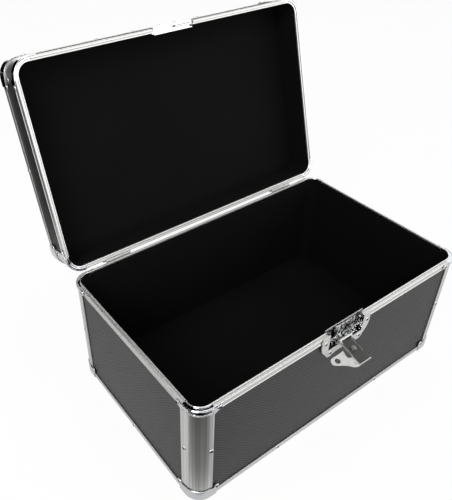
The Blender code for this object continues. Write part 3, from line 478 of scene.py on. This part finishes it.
def make_object(name, bm, looks):
    """A smooth object with sharp edges and a finish for each of its material numbers."""
    mesh = bpy.data.meshes.new(name)
    bm.to_mesh(mesh)
    bm.free()
    mesh.shade_smooth()
    mesh.set_sharp_from_angle(angle=sharp_angle)
    for look in looks:
        mesh.materials.append(finish(look))
    obj = bpy.data.objects.new(name, mesh)
    bpy.context.scene.collection.objects.link(obj)
    return obj


def add_piece(name, bm, looks, place=Matrix.Identity(4), edge=0.0):
    """Make a finished piece of a mesh, with its faces out and its sharp edges rounded."""
    bmesh.ops.remove_doubles(bm, verts=bm.verts, dist=touch_gap / 100)
    bmesh.ops.recalc_face_normals(bm, faces=bm.faces)
    round_edges(bm, edge)
    bmesh.ops.transform(bm, matrix=place, verts=bm.verts)
    return make_object(name, bm, looks)


def plain_mesh(obj):
    """Turn a piece and its modifiers into one plain mesh."""
    bpy.context.view_layer.update()
    done = bpy.data.meshes.new_from_object(obj.evaluated_get(bpy.context.evaluated_depsgraph_get()))
    obj.modifiers.clear()
    old = obj.data
    obj.data = done
    done.name = obj.name
    bpy.data.meshes.remove(old)


def settle(obj, body, look, *nodes):
    """Shade a piece by its large faces, give it its body and hide the solids it stands for; its look is not
    used.
    """
    obj.modifiers.new("even shading", "WEIGHTED_NORMAL").keep_sharp = True
    plain_mesh(obj)
    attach(obj, body)
    if nodes:
        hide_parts(*nodes)
    return obj


def cut_box(obj, low, high):
    """Cut a box from a piece."""
    bm = bmesh.new()
    bmesh.ops.create_cube(bm, size=1.0)
    bmesh.ops.scale(bm, vec=[b - a for a, b in zip(low, high)], verts=bm.verts)
    bmesh.ops.translate(bm, vec=[(a + b) / 2 for a, b in zip(low, high)], verts=bm.verts)
    mesh = bpy.data.meshes.new("cutter")
    bm.to_mesh(mesh)
    bm.free()
    tool = bpy.data.objects.new("cutter", mesh)
    bpy.context.scene.collection.objects.link(tool)
    modifier = obj.modifiers.new("cut", "BOOLEAN")
    modifier.operation = "DIFFERENCE"
    modifier.object = tool
    plain_mesh(obj)
    bpy.data.objects.remove(tool)
    bpy.data.meshes.remove(mesh)


def box_map(bm, place, upright=False):
    """A UV map in metres on a piece that lies square in its shut place, along X, Y or upright."""
    layer = bm.loops.layers.uv.new("UVMap")
    back = place.inverted()
    for face in bm.faces:
        normal = back.to_3x3() @ face.normal
        axis = max(range(3), key=lambda i: abs(normal[i]))
        for loop in face.loops:
            p = back @ loop.vert.co
            u, v = ((p.y, p.z), (p.x, p.z), (p.x, p.y))[axis]
            loop[layer].uv = (v, u) if upright else (u, v)


def dressed(node, look, place=Matrix.Identity(4), edge=0.0, upright=False):
    """A welded copy of a solid with rounded edges, its own UV map and its finish."""
    bm = bmesh.new()
    bm.from_mesh(frame["nodes"][node].data)
    bmesh.ops.remove_doubles(bm, verts=bm.verts, dist=touch_gap / 100)
    bmesh.ops.dissolve_limit(bm, angle_limit=flat_angle, verts=bm.verts, edges=bm.edges)
    round_edges(bm, edge)
    bm.normal_update()
    box_map(bm, place, upright)
    obj = make_object(node + "_finished", bm, [look])
    return settle(obj, frame["nodes"][node]["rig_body"], look, node)


def corner_frames(corner, straight, steps):
    """Matrices round one corner: X outwards, Z up, with a straight lead at each end."""
    side = Matrix.Rotation(radians(90 * corner), 4, "Z")
    x, y = half_x - corner_radius, half_y - corner_radius
    if corner % 2:
        x, y = y, x
    centre = side @ Matrix.Translation((x, y, 0))
    out = [centre @ Matrix.Rotation(radians(90 * i / steps), 4, "Z") for i in range(steps + 1)]
    if straight:
        out.insert(0, side @ Matrix.Translation((0, -straight, 0)) @ side.inverted() @ out[0])
        out.append(side @ Matrix.Translation((-straight, 0, 0)) @ side.inverted() @ out[-1])
    return out


corner_names = ("back_right", "back_left", "front_left", "front_right")


# Operators

class CASE_OT_panels(bpy.types.Operator):
    """Finish the faced boards"""
    bl_idname = "case.panels"
    bl_label = "Panels"

    def execute(self, context):
        for half in halves:
            large = "bottom" if half.name == "base" else "top"
            for side in ("front", "back", "left", "right", large):
                dressed(f"{half.name}_{side}_panel", "board", half.place)
        return {"FINISHED"}


class CASE_OT_linings(bpy.types.Operator):
    """Finish the trays inside both halves"""
    bl_idname = "case.linings"
    bl_label = "Linings"

    def execute(self, context):
        for half in halves:
            dressed(half.name + "_lining", "lining", half.place)
        return {"FINISHED"}


def rim_section(half, swell):
    """The rim's profile as points out from the corner's centre, and the face its lining turns up over."""
    low, seam = rim_height, rim_seam
    if half.name == "base":
        outer, step = tongue_height, wall - tongue_width
        lip = tongue_width / 2
        shape = arc((rim_shoulder, outer + rim_shoulder), rim_shoulder, 180, 270, 4)
        shape += [(step - seam, outer), (step - seam, outer + seam), (step, outer + seam)]
        shape += arc((step + lip, lip), lip, 180, 360, 6)
    else:
        outer, step = -tongue_height, wall - tongue_width - groove_clearance
        shape = arc((rim_shoulder, outer + rim_shoulder), rim_shoulder, 180, 270, 4)
        shape += arc((step - rim_shoulder, outer + rim_shoulder), rim_shoulder, 270, 360, 4)
        shape += [(step, seam), (step + seam, seam), (step + seam, 0)]
        shape += arc((wall - seam, seam), seam, 270, 360, 2)
    under = outer + tongue_height + rim_web
    bead = bead_height / 2
    covered = len(shape)
    shape += [
        (wall, rim_cover), (wall, rim_inner_leg), (lining_out, rim_inner_leg), (lining_out, under),
        (rim_leg, under), (rim_leg, low)]
    shape += arc((bead, low - bead), bead, 90, 270, 8)
    shape += [(bead_relief, low - bead_height - bead_groove),
              (bead_relief, outer + rim_shoulder + bead_relief)]
    points = [(corner_radius - inset + (swell if inset < wall / 2 else 0), 0, half.mouth + half.away * d)
              for inset, d in shape]
    return points, covered


class CASE_OT_rims(bpy.types.Operator):
    """Build both rims: four lengths of extrusion and four chromed corners each"""
    bl_idname = "case.rims"
    bl_label = "Rims"

    def execute(self, context):
        sizes = context.scene.case_sizes
        edge, steps = sizes.edge_round, sizes.corner_steps
        straight = corner_joint - corner_radius
        for half in halves:
            lengths = bmesh.new()
            corners = bmesh.new()
            for corner in range(4):
                here = corner_frames(corner, straight + joint_gap, 1)
                there = corner_frames((corner + 1) % 4, straight + joint_gap, 1)
                points, covered = rim_section(half, 0)
                sweep(lengths, points, [here[-1], there[0]], covered)
                points, covered = rim_section(half, joint_step)
                sweep(corners, points, corner_frames(corner, straight, steps), covered)
            rim = add_piece(half.name + "_rim_lengths", lengths, ["aluminium", "lining"], edge=edge)
            notch(half, rim)
            rim.data.transform(half.place)
            settle(rim, half.body, "aluminium", half.name + "_rim")
            turned = add_piece(half.name + "_rim_corners", corners, ["chrome", "lining"], half.place, edge)
            settle(turned, half.body, "chrome")
        return {"FINISHED"}


def notch(half, rim):
    """Clear a rim for the latch or the catch and for the hinges, as the solids are."""
    over = tongue_height + rim_web
    if half.name == "base":
        low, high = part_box("latch_base")[0].z, half.mouth + over
        reach, slot, front = latch_reach, (half.mouth - lip_depth, half.mouth + over), wall - lip_wall
    else:
        low, high = half.mouth - over, half.mouth + catch_depth
        reach, slot, front = catch_reach, (half.mouth - over, half.mouth + lip_depth + rim_seam), rim_cut
    cut_box(rim, (-reach, -half_y - over, low), (reach, -half_y + wall + over, high))
    cut_box(rim, (-lip_reach, front - half_y, slot[0]), (lip_reach, -half_y + wall + over, slot[1]))
    for side in ("left", "right"):
        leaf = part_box("base_hinge_leaf_" + side)
        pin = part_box("hinge_pin_" + side)
        bottom = hinge.z - knuckle_room if half.name == "base" else half.mouth - over
        top = half.mouth + over if half.name == "base" else hinge.z + knuckle_room
        cut_box(rim, (pin[0].x - touch_gap, hinge.y - knuckle_room, bottom),
                (leaf[1].x + touch_gap, half_y + over, top))


class CASE_OT_rim_caps(bpy.types.Operator):
    """Finish the chromed caps with their riveted ears"""
    bl_idname = "case.rim_caps"
    bl_label = "Rim caps"

    def execute(self, context):
        edge = context.scene.case_sizes.edge_round
        for half in halves:
            for corner in corner_names:
                dressed(f"{half.name}_rim_cap_{corner}", "chrome", half.place, edge)
        return {"FINISHED"}


def redraw(obj, half, shift):
    """Move a finished piece's points by a rule that works in its shut place."""
    back = half.place.inverted()
    for vert in obj.data.vertices:
        vert.co = half.place @ shift(back @ vert.co)


def taller(half):
    """A rule that draws a cap's wall and ears further up the post."""
    def shift(p):
        if half.height - half.away * (p.z - half.mouth) > cap_foot:
            turn = corner_radius + touch_gap
            turned = abs(p.x) > half_x - turn and abs(p.y) > half_y - turn
            p.z -= half.away * (wall_raise if turned else ear_raise)
        return p
    return shift


def wider(p):
    """A rule that draws a post's leg a little further along the side wall."""
    if abs(p.y) < half_y - corner_radius - touch_gap:
        p.y -= copysign(leg_more, p.y)
    return p


class CASE_OT_corner_caps(bpy.types.Operator):
    """Finish the pressed corners of the base's bottom and the lid's top"""
    bl_idname = "case.corner_caps"
    bl_label = "Corner caps"

    def execute(self, context):
        for half in halves:
            for corner in corner_names:
                cap = dressed(f"{half.name}_corner_cap_{corner}", "pressed", half.place)
                redraw(cap, half, taller(half))
        return {"FINISHED"}


class CASE_OT_extrusions(bpy.types.Operator):
    """Finish the corner posts and the edge strips"""
    bl_idname = "case.extrusions"
    bl_label = "Posts and strips"

    def execute(self, context):
        edge = context.scene.case_sizes.edge_round
        for half in halves:
            dressed(half.name + "_edge_strip", "aluminium", half.place, edge)
            for corner in corner_names:
                post = dressed(f"{half.name}_post_{corner}", "post", half.place, edge, upright=True)
                redraw(post, half, wider)
        return {"FINISHED"}


class CASE_OT_hinges(bpy.types.Operator):
    """Finish the hinge leaves and pins"""
    bl_idname = "case.hinges"
    bl_label = "Hinges"

    def execute(self, context):
        edge = context.scene.case_sizes.edge_round
        for side in ("left", "right"):
            dressed("base_hinge_leaf_" + side, "plate", edge=edge)
            dressed("lid_hinge_leaf_" + side, "plate", lid_place, edge)
            dressed("hinge_pin_" + side, "steel")
        return {"FINISHED"}


class CASE_OT_latch(bpy.types.Operator):
    """Finish the latch's plate, flap, hook, lock and padlock tab, and the lid's catch"""
    bl_idname = "case.latch"
    bl_label = "Latch"

    def execute(self, context):
        edge = context.scene.case_sizes.edge_round
        # The hook takes the chromed pressing with its painted reflections
        for node, look in (("latch_flap", "lever"), ("padlock_tab", "plate"), ("latch_hook", "pressing"),
                           ("lock_barrel", "steel"), ("lock_plug", "steel")):
            dressed(node, look, edge=edge)
        flap = bpy.data.objects["latch_flap_finished"]
        # Painted highlight: the flap's top edges, its ends and its sides take the pale plate
        flap.data.materials.append(finish("plate"))
        floor = max(flap.data.polygons, key=lambda f: f.area * (f.normal.z > 0)).normal.copy()
        along = floor.cross(Vector((1, 0, 0)))
        top = max(v.co.dot(floor) for v in flap.data.vertices)
        ends = [v.co.dot(along) for v in flap.data.vertices]
        for face in flap.data.polygons:
            high = face.center.dot(floor) > top - painted_highlight_edge
            spot = face.center.dot(along)
            end = min(max(ends) - spot, spot - min(ends)) < painted_highlight_edge
            if high or end or abs(face.normal.x) > abs(face.normal.dot(floor)):
                face.material_index = 1
        plate = dressed("latch_base", "plate", edge=edge)
        # The plate's faces set back from the front, below the mouth, take the chromed pressing with its
        # painted reflections
        plate.data.materials.append(finish("pressing"))
        for face in plate.data.polygons:
            if face.center.y > touch_gap - half_y and face.center.z < base_mouth:
                face.material_index = 1
        for node in ("latch_flap_pin", "latch_hook_pin", "latch_hook_spring"):
            dressed(node, "steel")
        dressed("lid_catch", "chrome", lid_place, edge)
        return {"FINISHED"}


class CASE_OT_handle(bpy.types.Operator):
    """Finish the handle's brackets, bail and grip"""
    bl_idname = "case.handle"
    bl_label = "Handle"

    def execute(self, context):
        edge = context.scene.case_sizes.edge_round
        for side in ("left", "right"):
            dressed("handle_bracket_" + side, "chrome", lid_place, edge)
        dressed("handle_bail", "chrome", lid_place)
        dressed("handle_grip", "grip", lid_place)
        return {"FINISHED"}


# Rivets

# Places of the rivets, from a corner, from the rim's mouth or from an outer edge
ear_inset = 0.0276
ear_drop = 0.0050
foot_inset = 0.0272
foot_rise = 0.0112
post_inset = 0.0196
post_drop = 0.0690
strip_places = {"base": (-0.083, 0.083), "lid": (-0.0805, -0.031, 0.065)}
strip_rise = 0.0064
leaf_pitch = 0.0110
leaf_drop = 0.0130
plate_places = ((0.0320, 0.0100), (0.0225, 0.0283))
catch_place = (0.0110, 0.0120)
bracket_pitch = 0.0110

# A rivet's form, as shares of its radius, rise and pit, and in degrees round its dome
flange_taper = 0.97
flange_share = 0.25
dome_angles = (20, 38, 54)
pit_taper = 0.9
pit_side, pit_floor = 0.15, 0.1
rivet_sides = 14
rivet_sharp = radians(40)


def rivet_head(sizes):
    """One pop rivet: a domed flange with the pit where its mandrel broke off."""
    r, h, pit = sizes.rivet_radius, sizes.rivet_rise, sizes.rivet_pit
    dome = 1 - flange_share
    profile = [(r * flange_taper, -touch_gap), (r, h * flange_share)]
    profile += [(r * cos(radians(a)), h * (flange_share + dome * sin(radians(a)))) for a in dome_angles]
    profile += [(pit, h), (pit * pit_taper, h * pit_side), (0, h * pit_floor)]
    bm = bmesh.new()
    verts = [bm.verts.new((x, 0, z)) for x, z in profile]
    edges = [bm.edges.new(pair) for pair in zip(verts, verts[1:])]
    bmesh.ops.spin(bm, geom=verts + edges, cent=(0, 0, 0), axis=(0, 0, 1), angle=2 * pi,
                   steps=rivet_sides)
    bmesh.ops.remove_doubles(bm, verts=bm.verts, dist=r / 1000)
    rim = [e for e in bm.edges if len(e.link_faces) == 1]
    bmesh.ops.contextual_create(bm, geom=rim)
    bmesh.ops.recalc_face_normals(bm, faces=bm.faces)
    mesh = bpy.data.meshes.new("rivet head")
    bm.to_mesh(mesh)
    bm.free()
    mesh.shade_smooth()
    mesh.set_sharp_from_angle(angle=rivet_sharp)
    # The pit's faces, which take a black finish as painted shade
    inside = [Vector(f.center[:2]).length < pit and f.center.z > 0 for f in mesh.polygons]
    mesh.attributes.new("pit", "BOOLEAN", "FACE").data.foreach_set("value", inside)
    obj = bpy.data.objects.new("rivet head", mesh)
    bpy.context.scene.collection.objects.link(obj)
    return obj


def scatter_tree():
    """A node tree that puts one shape on every point, square to the point's own direction."""
    tree = bpy.data.node_groups.new("rivets on their places", "GeometryNodeTree")
    face = tree.interface
    face.new_socket("Places", in_out="INPUT", socket_type="NodeSocketGeometry")
    face.new_socket("Head", in_out="INPUT", socket_type="NodeSocketObject")
    face.new_socket("Finish", in_out="INPUT", socket_type="NodeSocketMaterial")
    face.new_socket("Pit", in_out="INPUT", socket_type="NodeSocketMaterial")
    face.new_socket("Rivets", in_out="OUTPUT", socket_type="NodeSocketGeometry")
    given = add(tree, "NodeGroupInput")
    head = add(tree, "GeometryNodeObjectInfo", {"Object": given.outputs["Head"]})
    way = add(tree, "GeometryNodeInputNamedAttribute", {"Name": "way"}, data_type="FLOAT_VECTOR")
    turn = add(tree, "FunctionNodeAlignRotationToVector", {"Vector": way.outputs["Attribute"]}, axis="Z")
    copies = add(tree, "GeometryNodeInstanceOnPoints",
                 {"Points": given.outputs["Places"], "Instance": head.outputs["Geometry"],
                  "Rotation": turn.outputs["Rotation"]})
    solid = add(tree, "GeometryNodeRealizeInstances", {"Geometry": copies.outputs["Instances"]})
    dress = add(tree, "GeometryNodeSetMaterial", {"Geometry": solid.outputs["Geometry"],
                                                  "Material": given.outputs["Finish"]})
    # The pit's faces take the black finish: painted shade
    broken = add(tree, "GeometryNodeInputNamedAttribute", {"Name": "pit"}, data_type="BOOLEAN")
    dark = add(tree, "GeometryNodeSetMaterial", {"Geometry": dress.outputs["Geometry"],
                                                 "Selection": broken.outputs["Attribute"],
                                                 "Material": given.outputs["Pit"]})
    add(tree, "NodeGroupOutput", {"Rivets": dark.outputs["Geometry"]})
    return tree


def on_skin(half, node, spot, way):
    """Where a line straight in against a direction first meets a solid, shut, and that direction."""
    mesh = frame["nodes"][node].data
    tree = BVHTree.FromPolygons([v.co for v in mesh.vertices], [p.vertices for p in mesh.polygons])
    out = half.place.to_3x3() @ Vector(way)
    hit = tree.ray_cast(half.place @ Vector(spot) + out * corner_radius, -out)[0]
    if hit is None:
        raise ValueError("no skin of " + node + " under a rivet")
    return half.place.inverted() @ hit, way


def rivet_places(half):
    """Where one half's rivets sit and which way they point, as (place, direction), shut."""
    out = []
    ways = {"front": (0, -1, 0), "back": (0, 1, 0), "left": (-1, 0, 0), "right": (1, 0, 0)}
    reaches = {"front": half_x, "back": half_x, "left": half_y, "right": half_y}

    def rivet(node, side, along, depth):
        """A rivet on a solid in one wall: so far along it from its middle, and from the mouth."""
        way = Vector(ways[side])
        long_wall = side in ("front", "back")
        spot = way * (half_y if long_wall else half_x)
        spot += Vector((along, 0, 0) if long_wall else (0, along, 0))
        spot.z = half.mouth + half.away * depth
        out.append(on_skin(half, half.name + node, spot, way))

    for side, reach in reaches.items():
        ends = ("left", "right") if side in ("front", "back") else ("front", "back")
        for sign, end in zip((-1, 1), ends):
            corner = side + "_" + end if side in ("front", "back") else end + "_" + side
            rivet("_rim_cap_" + corner, side, sign * (reach - ear_inset), ear_drop)
            rivet("_corner_cap_" + corner, side, sign * (reach - foot_inset), half.height - foot_rise)
            place, way = out.pop()
            out.append((place - Vector((0, 0, half.away * ear_raise)), way))
            rivet("_post_" + corner, side, sign * (reach - post_inset), min(post_drop, half.height / 2))
        for along in strip_places[half.name] if side in ("front", "back") else (0.0,):
            rivet("_edge_strip", side, along, half.height - strip_rise)
    for leaf in ("left", "right"):
        middle = sum(corner.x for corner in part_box(half.name + "_hinge_leaf_" + leaf)) / 2
        for sign in (-1, 0, 1):
            rivet("_hinge_leaf_" + leaf, "back", middle + sign * leaf_pitch, leaf_drop)
    return out


def fitting_rivets(half):
    """The rivets of the latch's plate on the base, and of the catch and the handle on the lid."""
    out = []
    front = Vector((0, -1, 0))
    if half.name == "base":
        for x, drop in plate_places:
            for sign in (-1, 1):
                out.append(on_skin(half, "latch_base", (sign * x, -half_y, half.mouth - drop), front))
    else:
        x, rise = catch_place
        for sign in (-1, 1):
            out.append(on_skin(half, "lid_catch", (sign * x, -half_y, half.mouth + rise), front))
        for side in ("left", "right"):
            box = [half.place.inverted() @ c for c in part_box("handle_bracket_" + side)]
            middle = (box[0].x + box[1].x) / 2
            for sign in (-1, 1):
                spot = (middle + sign * bracket_pitch, 0, half.mouth + half.height)
                out.append(on_skin(half, "handle_bracket_" + side, spot, Vector((0, 0, 1))))
    return out


class CASE_OT_rivets(bpy.types.Operator):
    """Set the pop rivets, one mesh for each half"""
    bl_idname = "case.rivets"
    bl_label = "Rivets"

    def execute(self, context):
        head = rivet_head(context.scene.case_sizes)
        tree = scatter_tree()
        names = {item.name: item.identifier for item in tree.interface.items_tree if item.in_out == "INPUT"}
        for half in halves:
            places = rivet_places(half) + fitting_rivets(half)
            turn = half.place.to_3x3()
            mesh = bpy.data.meshes.new(half.name + "_rivets")
            mesh.from_pydata([half.place @ Vector(p) for p, way in places], [], [])
            ways = mesh.attributes.new("way", "FLOAT_VECTOR", "POINT")
            ways.data.foreach_set("vector", [c for p, way in places for c in turn @ Vector(way)])
            obj = bpy.data.objects.new(half.name + "_rivets", mesh)
            context.scene.collection.objects.link(obj)
            modifier = obj.modifiers.new("rivets", "NODES")
            modifier.node_group = tree
            modifier[names["Head"]] = head
            modifier[names["Finish"]] = finish("chrome")
            # The pits take the black lining finish as painted shade
            modifier[names["Pit"]] = finish("lining")
            plain_mesh(obj)
            settle(obj, half.body, "chrome")
        bpy.data.objects.remove(head)
        return {"FINISHED"}


# Stage

camera_place = (-0.3946, -0.3830, base_mouth + 0.4377)
camera_azimuth = radians(35.492)
camera_elevation = radians(36.798)
camera_roll = radians(-0.672)
camera_lens = 41.937
camera_shift = (0.0807, -0.0110)
camera_film = 36.0

# Glow of the surroundings: on the case itself, and where they are seen or mirrored
sky_levels = (0.55, 1.2)
floor_colour = "#f2f2f2"
floor_half = 8.0
floor_share = 0.93
# Mirror rays see the floor dimmer near the case and brighter far off: painted shade round the case's foot
painted_floor_shade_reach = (0.35, 1.4)
painted_floor_shade_levels = (0.64, 1.25)

# Soft boxes: name, place and power
box_size = 1.0
box_target = (0, 0, 0.12)
soft_boxes = (("key", (-1.6, -0.9, 1.8), 30), ("top", (0.4, 0.2, 2.4), 12))

# Cards seen by mirror rays only: name, corners, level
upright_cards = (
    ("dark ceiling", ((-2.0, -2.0, 2.6), (2.0, -2.0, 2.6), (2.0, 2.0, 2.6), (-2.0, 2.0, 2.6)), 0.0),
    ("dark wall", ((-2.2, -0.5, 0.9), (-2.2, 3.0, 0.9), (-2.2, 3.0, 2.6), (-2.2, -0.5, 2.6)), 0.0),
    ("dark back wall", ((-2.0, 2.5, 0.0), (0.1, 2.5, 0.0), (0.1, 2.5, 0.9), (-2.0, 2.5, 0.9)), 0.0),
    ("white board", ((-0.1, -1.3, 0.0), (1.9, -1.3, 0.0), (1.9, -1.3, 0.8), (-0.1, -1.3, 0.8)), 2.2),
)
back_card = ((-2.0, 0.42), (-0.21, 0.42), (-0.21, 2.5), (-2.0, 2.5))
front_card = ((-0.04, 0.0), (0.04, 0.0), (0.8, -0.5), (-1.2, -0.5))
front_stops = ((0.0, 0.5), (0.25, 0.2), (0.7, 0.12), (0.85, 0.0), (1.0, 0.0))
front_reach = 0.12


def set_camera(scene):
    """The camera stands at the photograph's place and looks down at the open case."""
    az, el = camera_azimuth, camera_elevation
    look = Vector((sin(az) * cos(el), cos(az) * cos(el), -sin(el)))
    right = look.cross(Vector((0, 0, 1))).normalized()
    top = right.cross(look)
    x = right * cos(camera_roll) + top * sin(camera_roll)
    y = top * cos(camera_roll) - right * sin(camera_roll)
    data = bpy.data.cameras.new("camera")
    data.lens = camera_lens
    data.sensor_width = camera_film
    data.shift_x, data.shift_y = camera_shift
    obj = bpy.data.objects.new("camera", data)
    place = Matrix((x, y, -look)).transposed().to_4x4()
    place.translation = camera_place
    obj.matrix_world = place
    scene.collection.objects.link(obj)
    scene.camera = obj


def soft_light(scene, name, place, power):
    """A square soft box that faces the case."""
    data = bpy.data.lights.new(name, "AREA")
    data.size = box_size
    data.energy = power
    obj = bpy.data.objects.new(name, data)
    obj.location = place
    obj.rotation_euler = (Vector(box_target) - Vector(place)).to_track_quat("-Z", "Y").to_euler()
    scene.collection.objects.link(obj)


def bare_material(name):
    """A material with an empty tree."""
    mat = bpy.data.materials.new(name)
    mat.use_nodes = True
    mat.node_tree.nodes.clear()
    return mat, mat.node_tree


def seen_white(tree):
    """1 for rays that should see a white background: camera, mirror and glass rays."""
    path = add(tree, "ShaderNodeLightPath")
    first = add(tree, "ShaderNodeMath", {0: path.outputs["Is Camera Ray"], 1: path.outputs["Is Glossy Ray"]},
                operation="MAXIMUM")
    return add(tree, "ShaderNodeMath", {0: first.outputs[0], 1: path.outputs["Is Transmission Ray"]},
               operation="MAXIMUM").outputs[0]


def card(scene, name, corners, level, stops=((0.0, 1.0), (1.0, 1.0)), reach=1.0):
    """A flat card that only mirror rays see; its stops share out its glow over a reach along its own -Y."""
    mesh = bpy.data.meshes.new(name)
    mesh.from_pydata(corners, [], [tuple(range(len(corners)))])
    obj = bpy.data.objects.new(name, mesh)
    scene.collection.objects.link(obj)
    mat, tree = bare_material(name + " cloth")
    where = add(tree, "ShaderNodeTexCoord")
    parts = add(tree, "ShaderNodeSeparateXYZ", {"Vector": where.outputs["Object"]})
    share = add(tree, "ShaderNodeMath", {0: parts.outputs["Y"], 1: -1 / reach}, operation="MULTIPLY")
    fade = add(tree, "ShaderNodeFloatCurve", {"Value": share.outputs[0]})
    points = fade.mapping.curves[0].points
    for point, stop in zip(points, (stops[0], stops[-1])):
        point.location = stop
    for stop in stops[1:-1]:
        points.new(*stop)
    fade.mapping.update()
    glow = add(tree, "ShaderNodeMath", {0: fade.outputs["Value"], 1: level}, operation="MULTIPLY")
    cloth = add(tree, "ShaderNodeEmission", {"Color": white, "Strength": glow.outputs[0]})
    add(tree, "ShaderNodeOutputMaterial", {"Surface": cloth.outputs[0]})
    mesh.materials.append(mat)
    obj.visible_camera = obj.visible_diffuse = obj.visible_shadow = False
    return obj


def studio_world(scene):
    """A white surround that lights the case more softly than it looks."""
    world = bpy.data.worlds.new("studio")
    scene.world = world
    world.use_nodes = True
    tree = world.node_tree
    tree.nodes.clear()
    strength = add(tree, "ShaderNodeMapRange",
                   {"Value": seen_white(tree), "To Min": sky_levels[0], "To Max": sky_levels[1]})
    sky = add(tree, "ShaderNodeBackground", {"Color": white, "Strength": strength.outputs["Result"]})
    add(tree, "ShaderNodeOutputWorld", {"Surface": sky.outputs[0]})


def studio_floor(scene):
    """A matt white floor that keeps a trace of shadow, with painted shade near the case for mirror rays, and
    fades into the white surround.
    """
    bm = bmesh.new()
    bmesh.ops.create_grid(bm, x_segments=1, y_segments=1, size=floor_half)
    bmesh.ops.translate(bm, vec=(0, 0, floor_height - touch_gap), verts=bm.verts)
    mesh = bpy.data.meshes.new("floor")
    bm.to_mesh(mesh)
    bm.free()
    floor = bpy.data.objects.new("floor", mesh)
    scene.collection.objects.link(floor)
    mat, tree = bare_material("white studio floor")
    path = add(tree, "ShaderNodeLightPath")
    where = add(tree, "ShaderNodeTexCoord")
    far = add(tree, "ShaderNodeVectorMath", {0: where.outputs["Object"]}, operation="LENGTH")
    # Painted shade: to mirror rays the floor glows less near the case
    glow = add(tree, "ShaderNodeMapRange",
               {"Value": far.outputs["Value"], "From Min": painted_floor_shade_reach[0], "From Max": painted_floor_shade_reach[1],
                "To Min": painted_floor_shade_levels[0], "To Max": painted_floor_shade_levels[1]})
    seen = add(tree, "ShaderNodeMix",
               {0: path.outputs["Is Glossy Ray"], 2: 1.0, 3: glow.outputs["Result"]}, data_type="FLOAT")
    share = add(tree, "ShaderNodeMath", {0: seen_white(tree), 1: floor_share}, operation="MULTIPLY")
    matt = add(tree, "ShaderNodeBsdfDiffuse", {"Color": srgb(floor_colour)})
    light = add(tree, "ShaderNodeEmission", {"Color": white, "Strength": seen.outputs[0]})
    mix = add(tree, "ShaderNodeMixShader",
              {0: share.outputs[0], 1: matt.outputs[0], 2: light.outputs[0]})
    add(tree, "ShaderNodeOutputMaterial", {"Surface": mix.outputs[0]})
    mesh.materials.append(mat)


class CASE_OT_stage(bpy.types.Operator):
    """Set the floor, the soft studio light and the camera"""
    bl_idname = "case.stage"
    bl_label = "Stage"

    def execute(self, context):
        scene = context.scene
        scene.view_settings.view_transform = "Standard"
        studio_world(scene)
        studio_floor(scene)
        for name, corners, level in upright_cards:
            card(scene, name, corners, level)
        ground = floor_height - touch_gap / 2
        card(scene, "dark backdrop", [(x, y, ground) for x, y in back_card], 0.0)
        flag = card(scene, "dark foreground", [(x, y, 0) for x, y in front_card], 1.0,
                    front_stops, front_reach)
        foot = Matrix.Translation((-half_x, -half_y, ground))
        flag.matrix_world = foot @ Matrix.Rotation(-camera_azimuth, 4, "Z")
        for name, place, power in soft_boxes:
            soft_light(scene, name, place, power)
        set_camera(scene)
        return {"FINISHED"}


class CASE_PT_sidebar(bpy.types.Panel):
    """The case's steps, in order"""
    bl_idname = "CASE_PT_sidebar"
    bl_label = "Carrying case"
    bl_space_type = "VIEW_3D"
    bl_region_type = "UI"
    bl_category = "Case"

    def draw(self, context):
        for group in (context.scene.case_sizes, context.scene.case_colours):
            for name in group.__annotations__:
                self.layout.prop(group, name)
        for step in steps:
            self.layout.operator(step.bl_idname)


steps = (CASE_OT_panels, CASE_OT_linings, CASE_OT_rims, CASE_OT_rim_caps, CASE_OT_corner_caps,
         CASE_OT_extrusions, CASE_OT_hinges, CASE_OT_latch, CASE_OT_handle, CASE_OT_rivets, CASE_OT_stage)
classes = (CaseSizes, CaseColours, *steps, CASE_PT_sidebar)


def register():
    """Add the case's properties, steps and panel to Blender."""
    for each in classes:
        bpy.utils.register_class(each)
    bpy.types.Scene.case_sizes = bpy.props.PointerProperty(type=CaseSizes)
    bpy.types.Scene.case_colours = bpy.props.PointerProperty(type=CaseColours)


def unregister():
    """Take them out again."""
    del bpy.types.Scene.case_colours
    del bpy.types.Scene.case_sizes
    for each in reversed(classes):
        bpy.utils.unregister_class(each)


def main():
    """Dress the case, step by step."""
    register()
    for step in steps:
        group, name = step.bl_idname.split(".")
        getattr(getattr(bpy.ops, group), name)()
    bpy.context.view_layer.update()


if __name__ == "__main__":
    main()
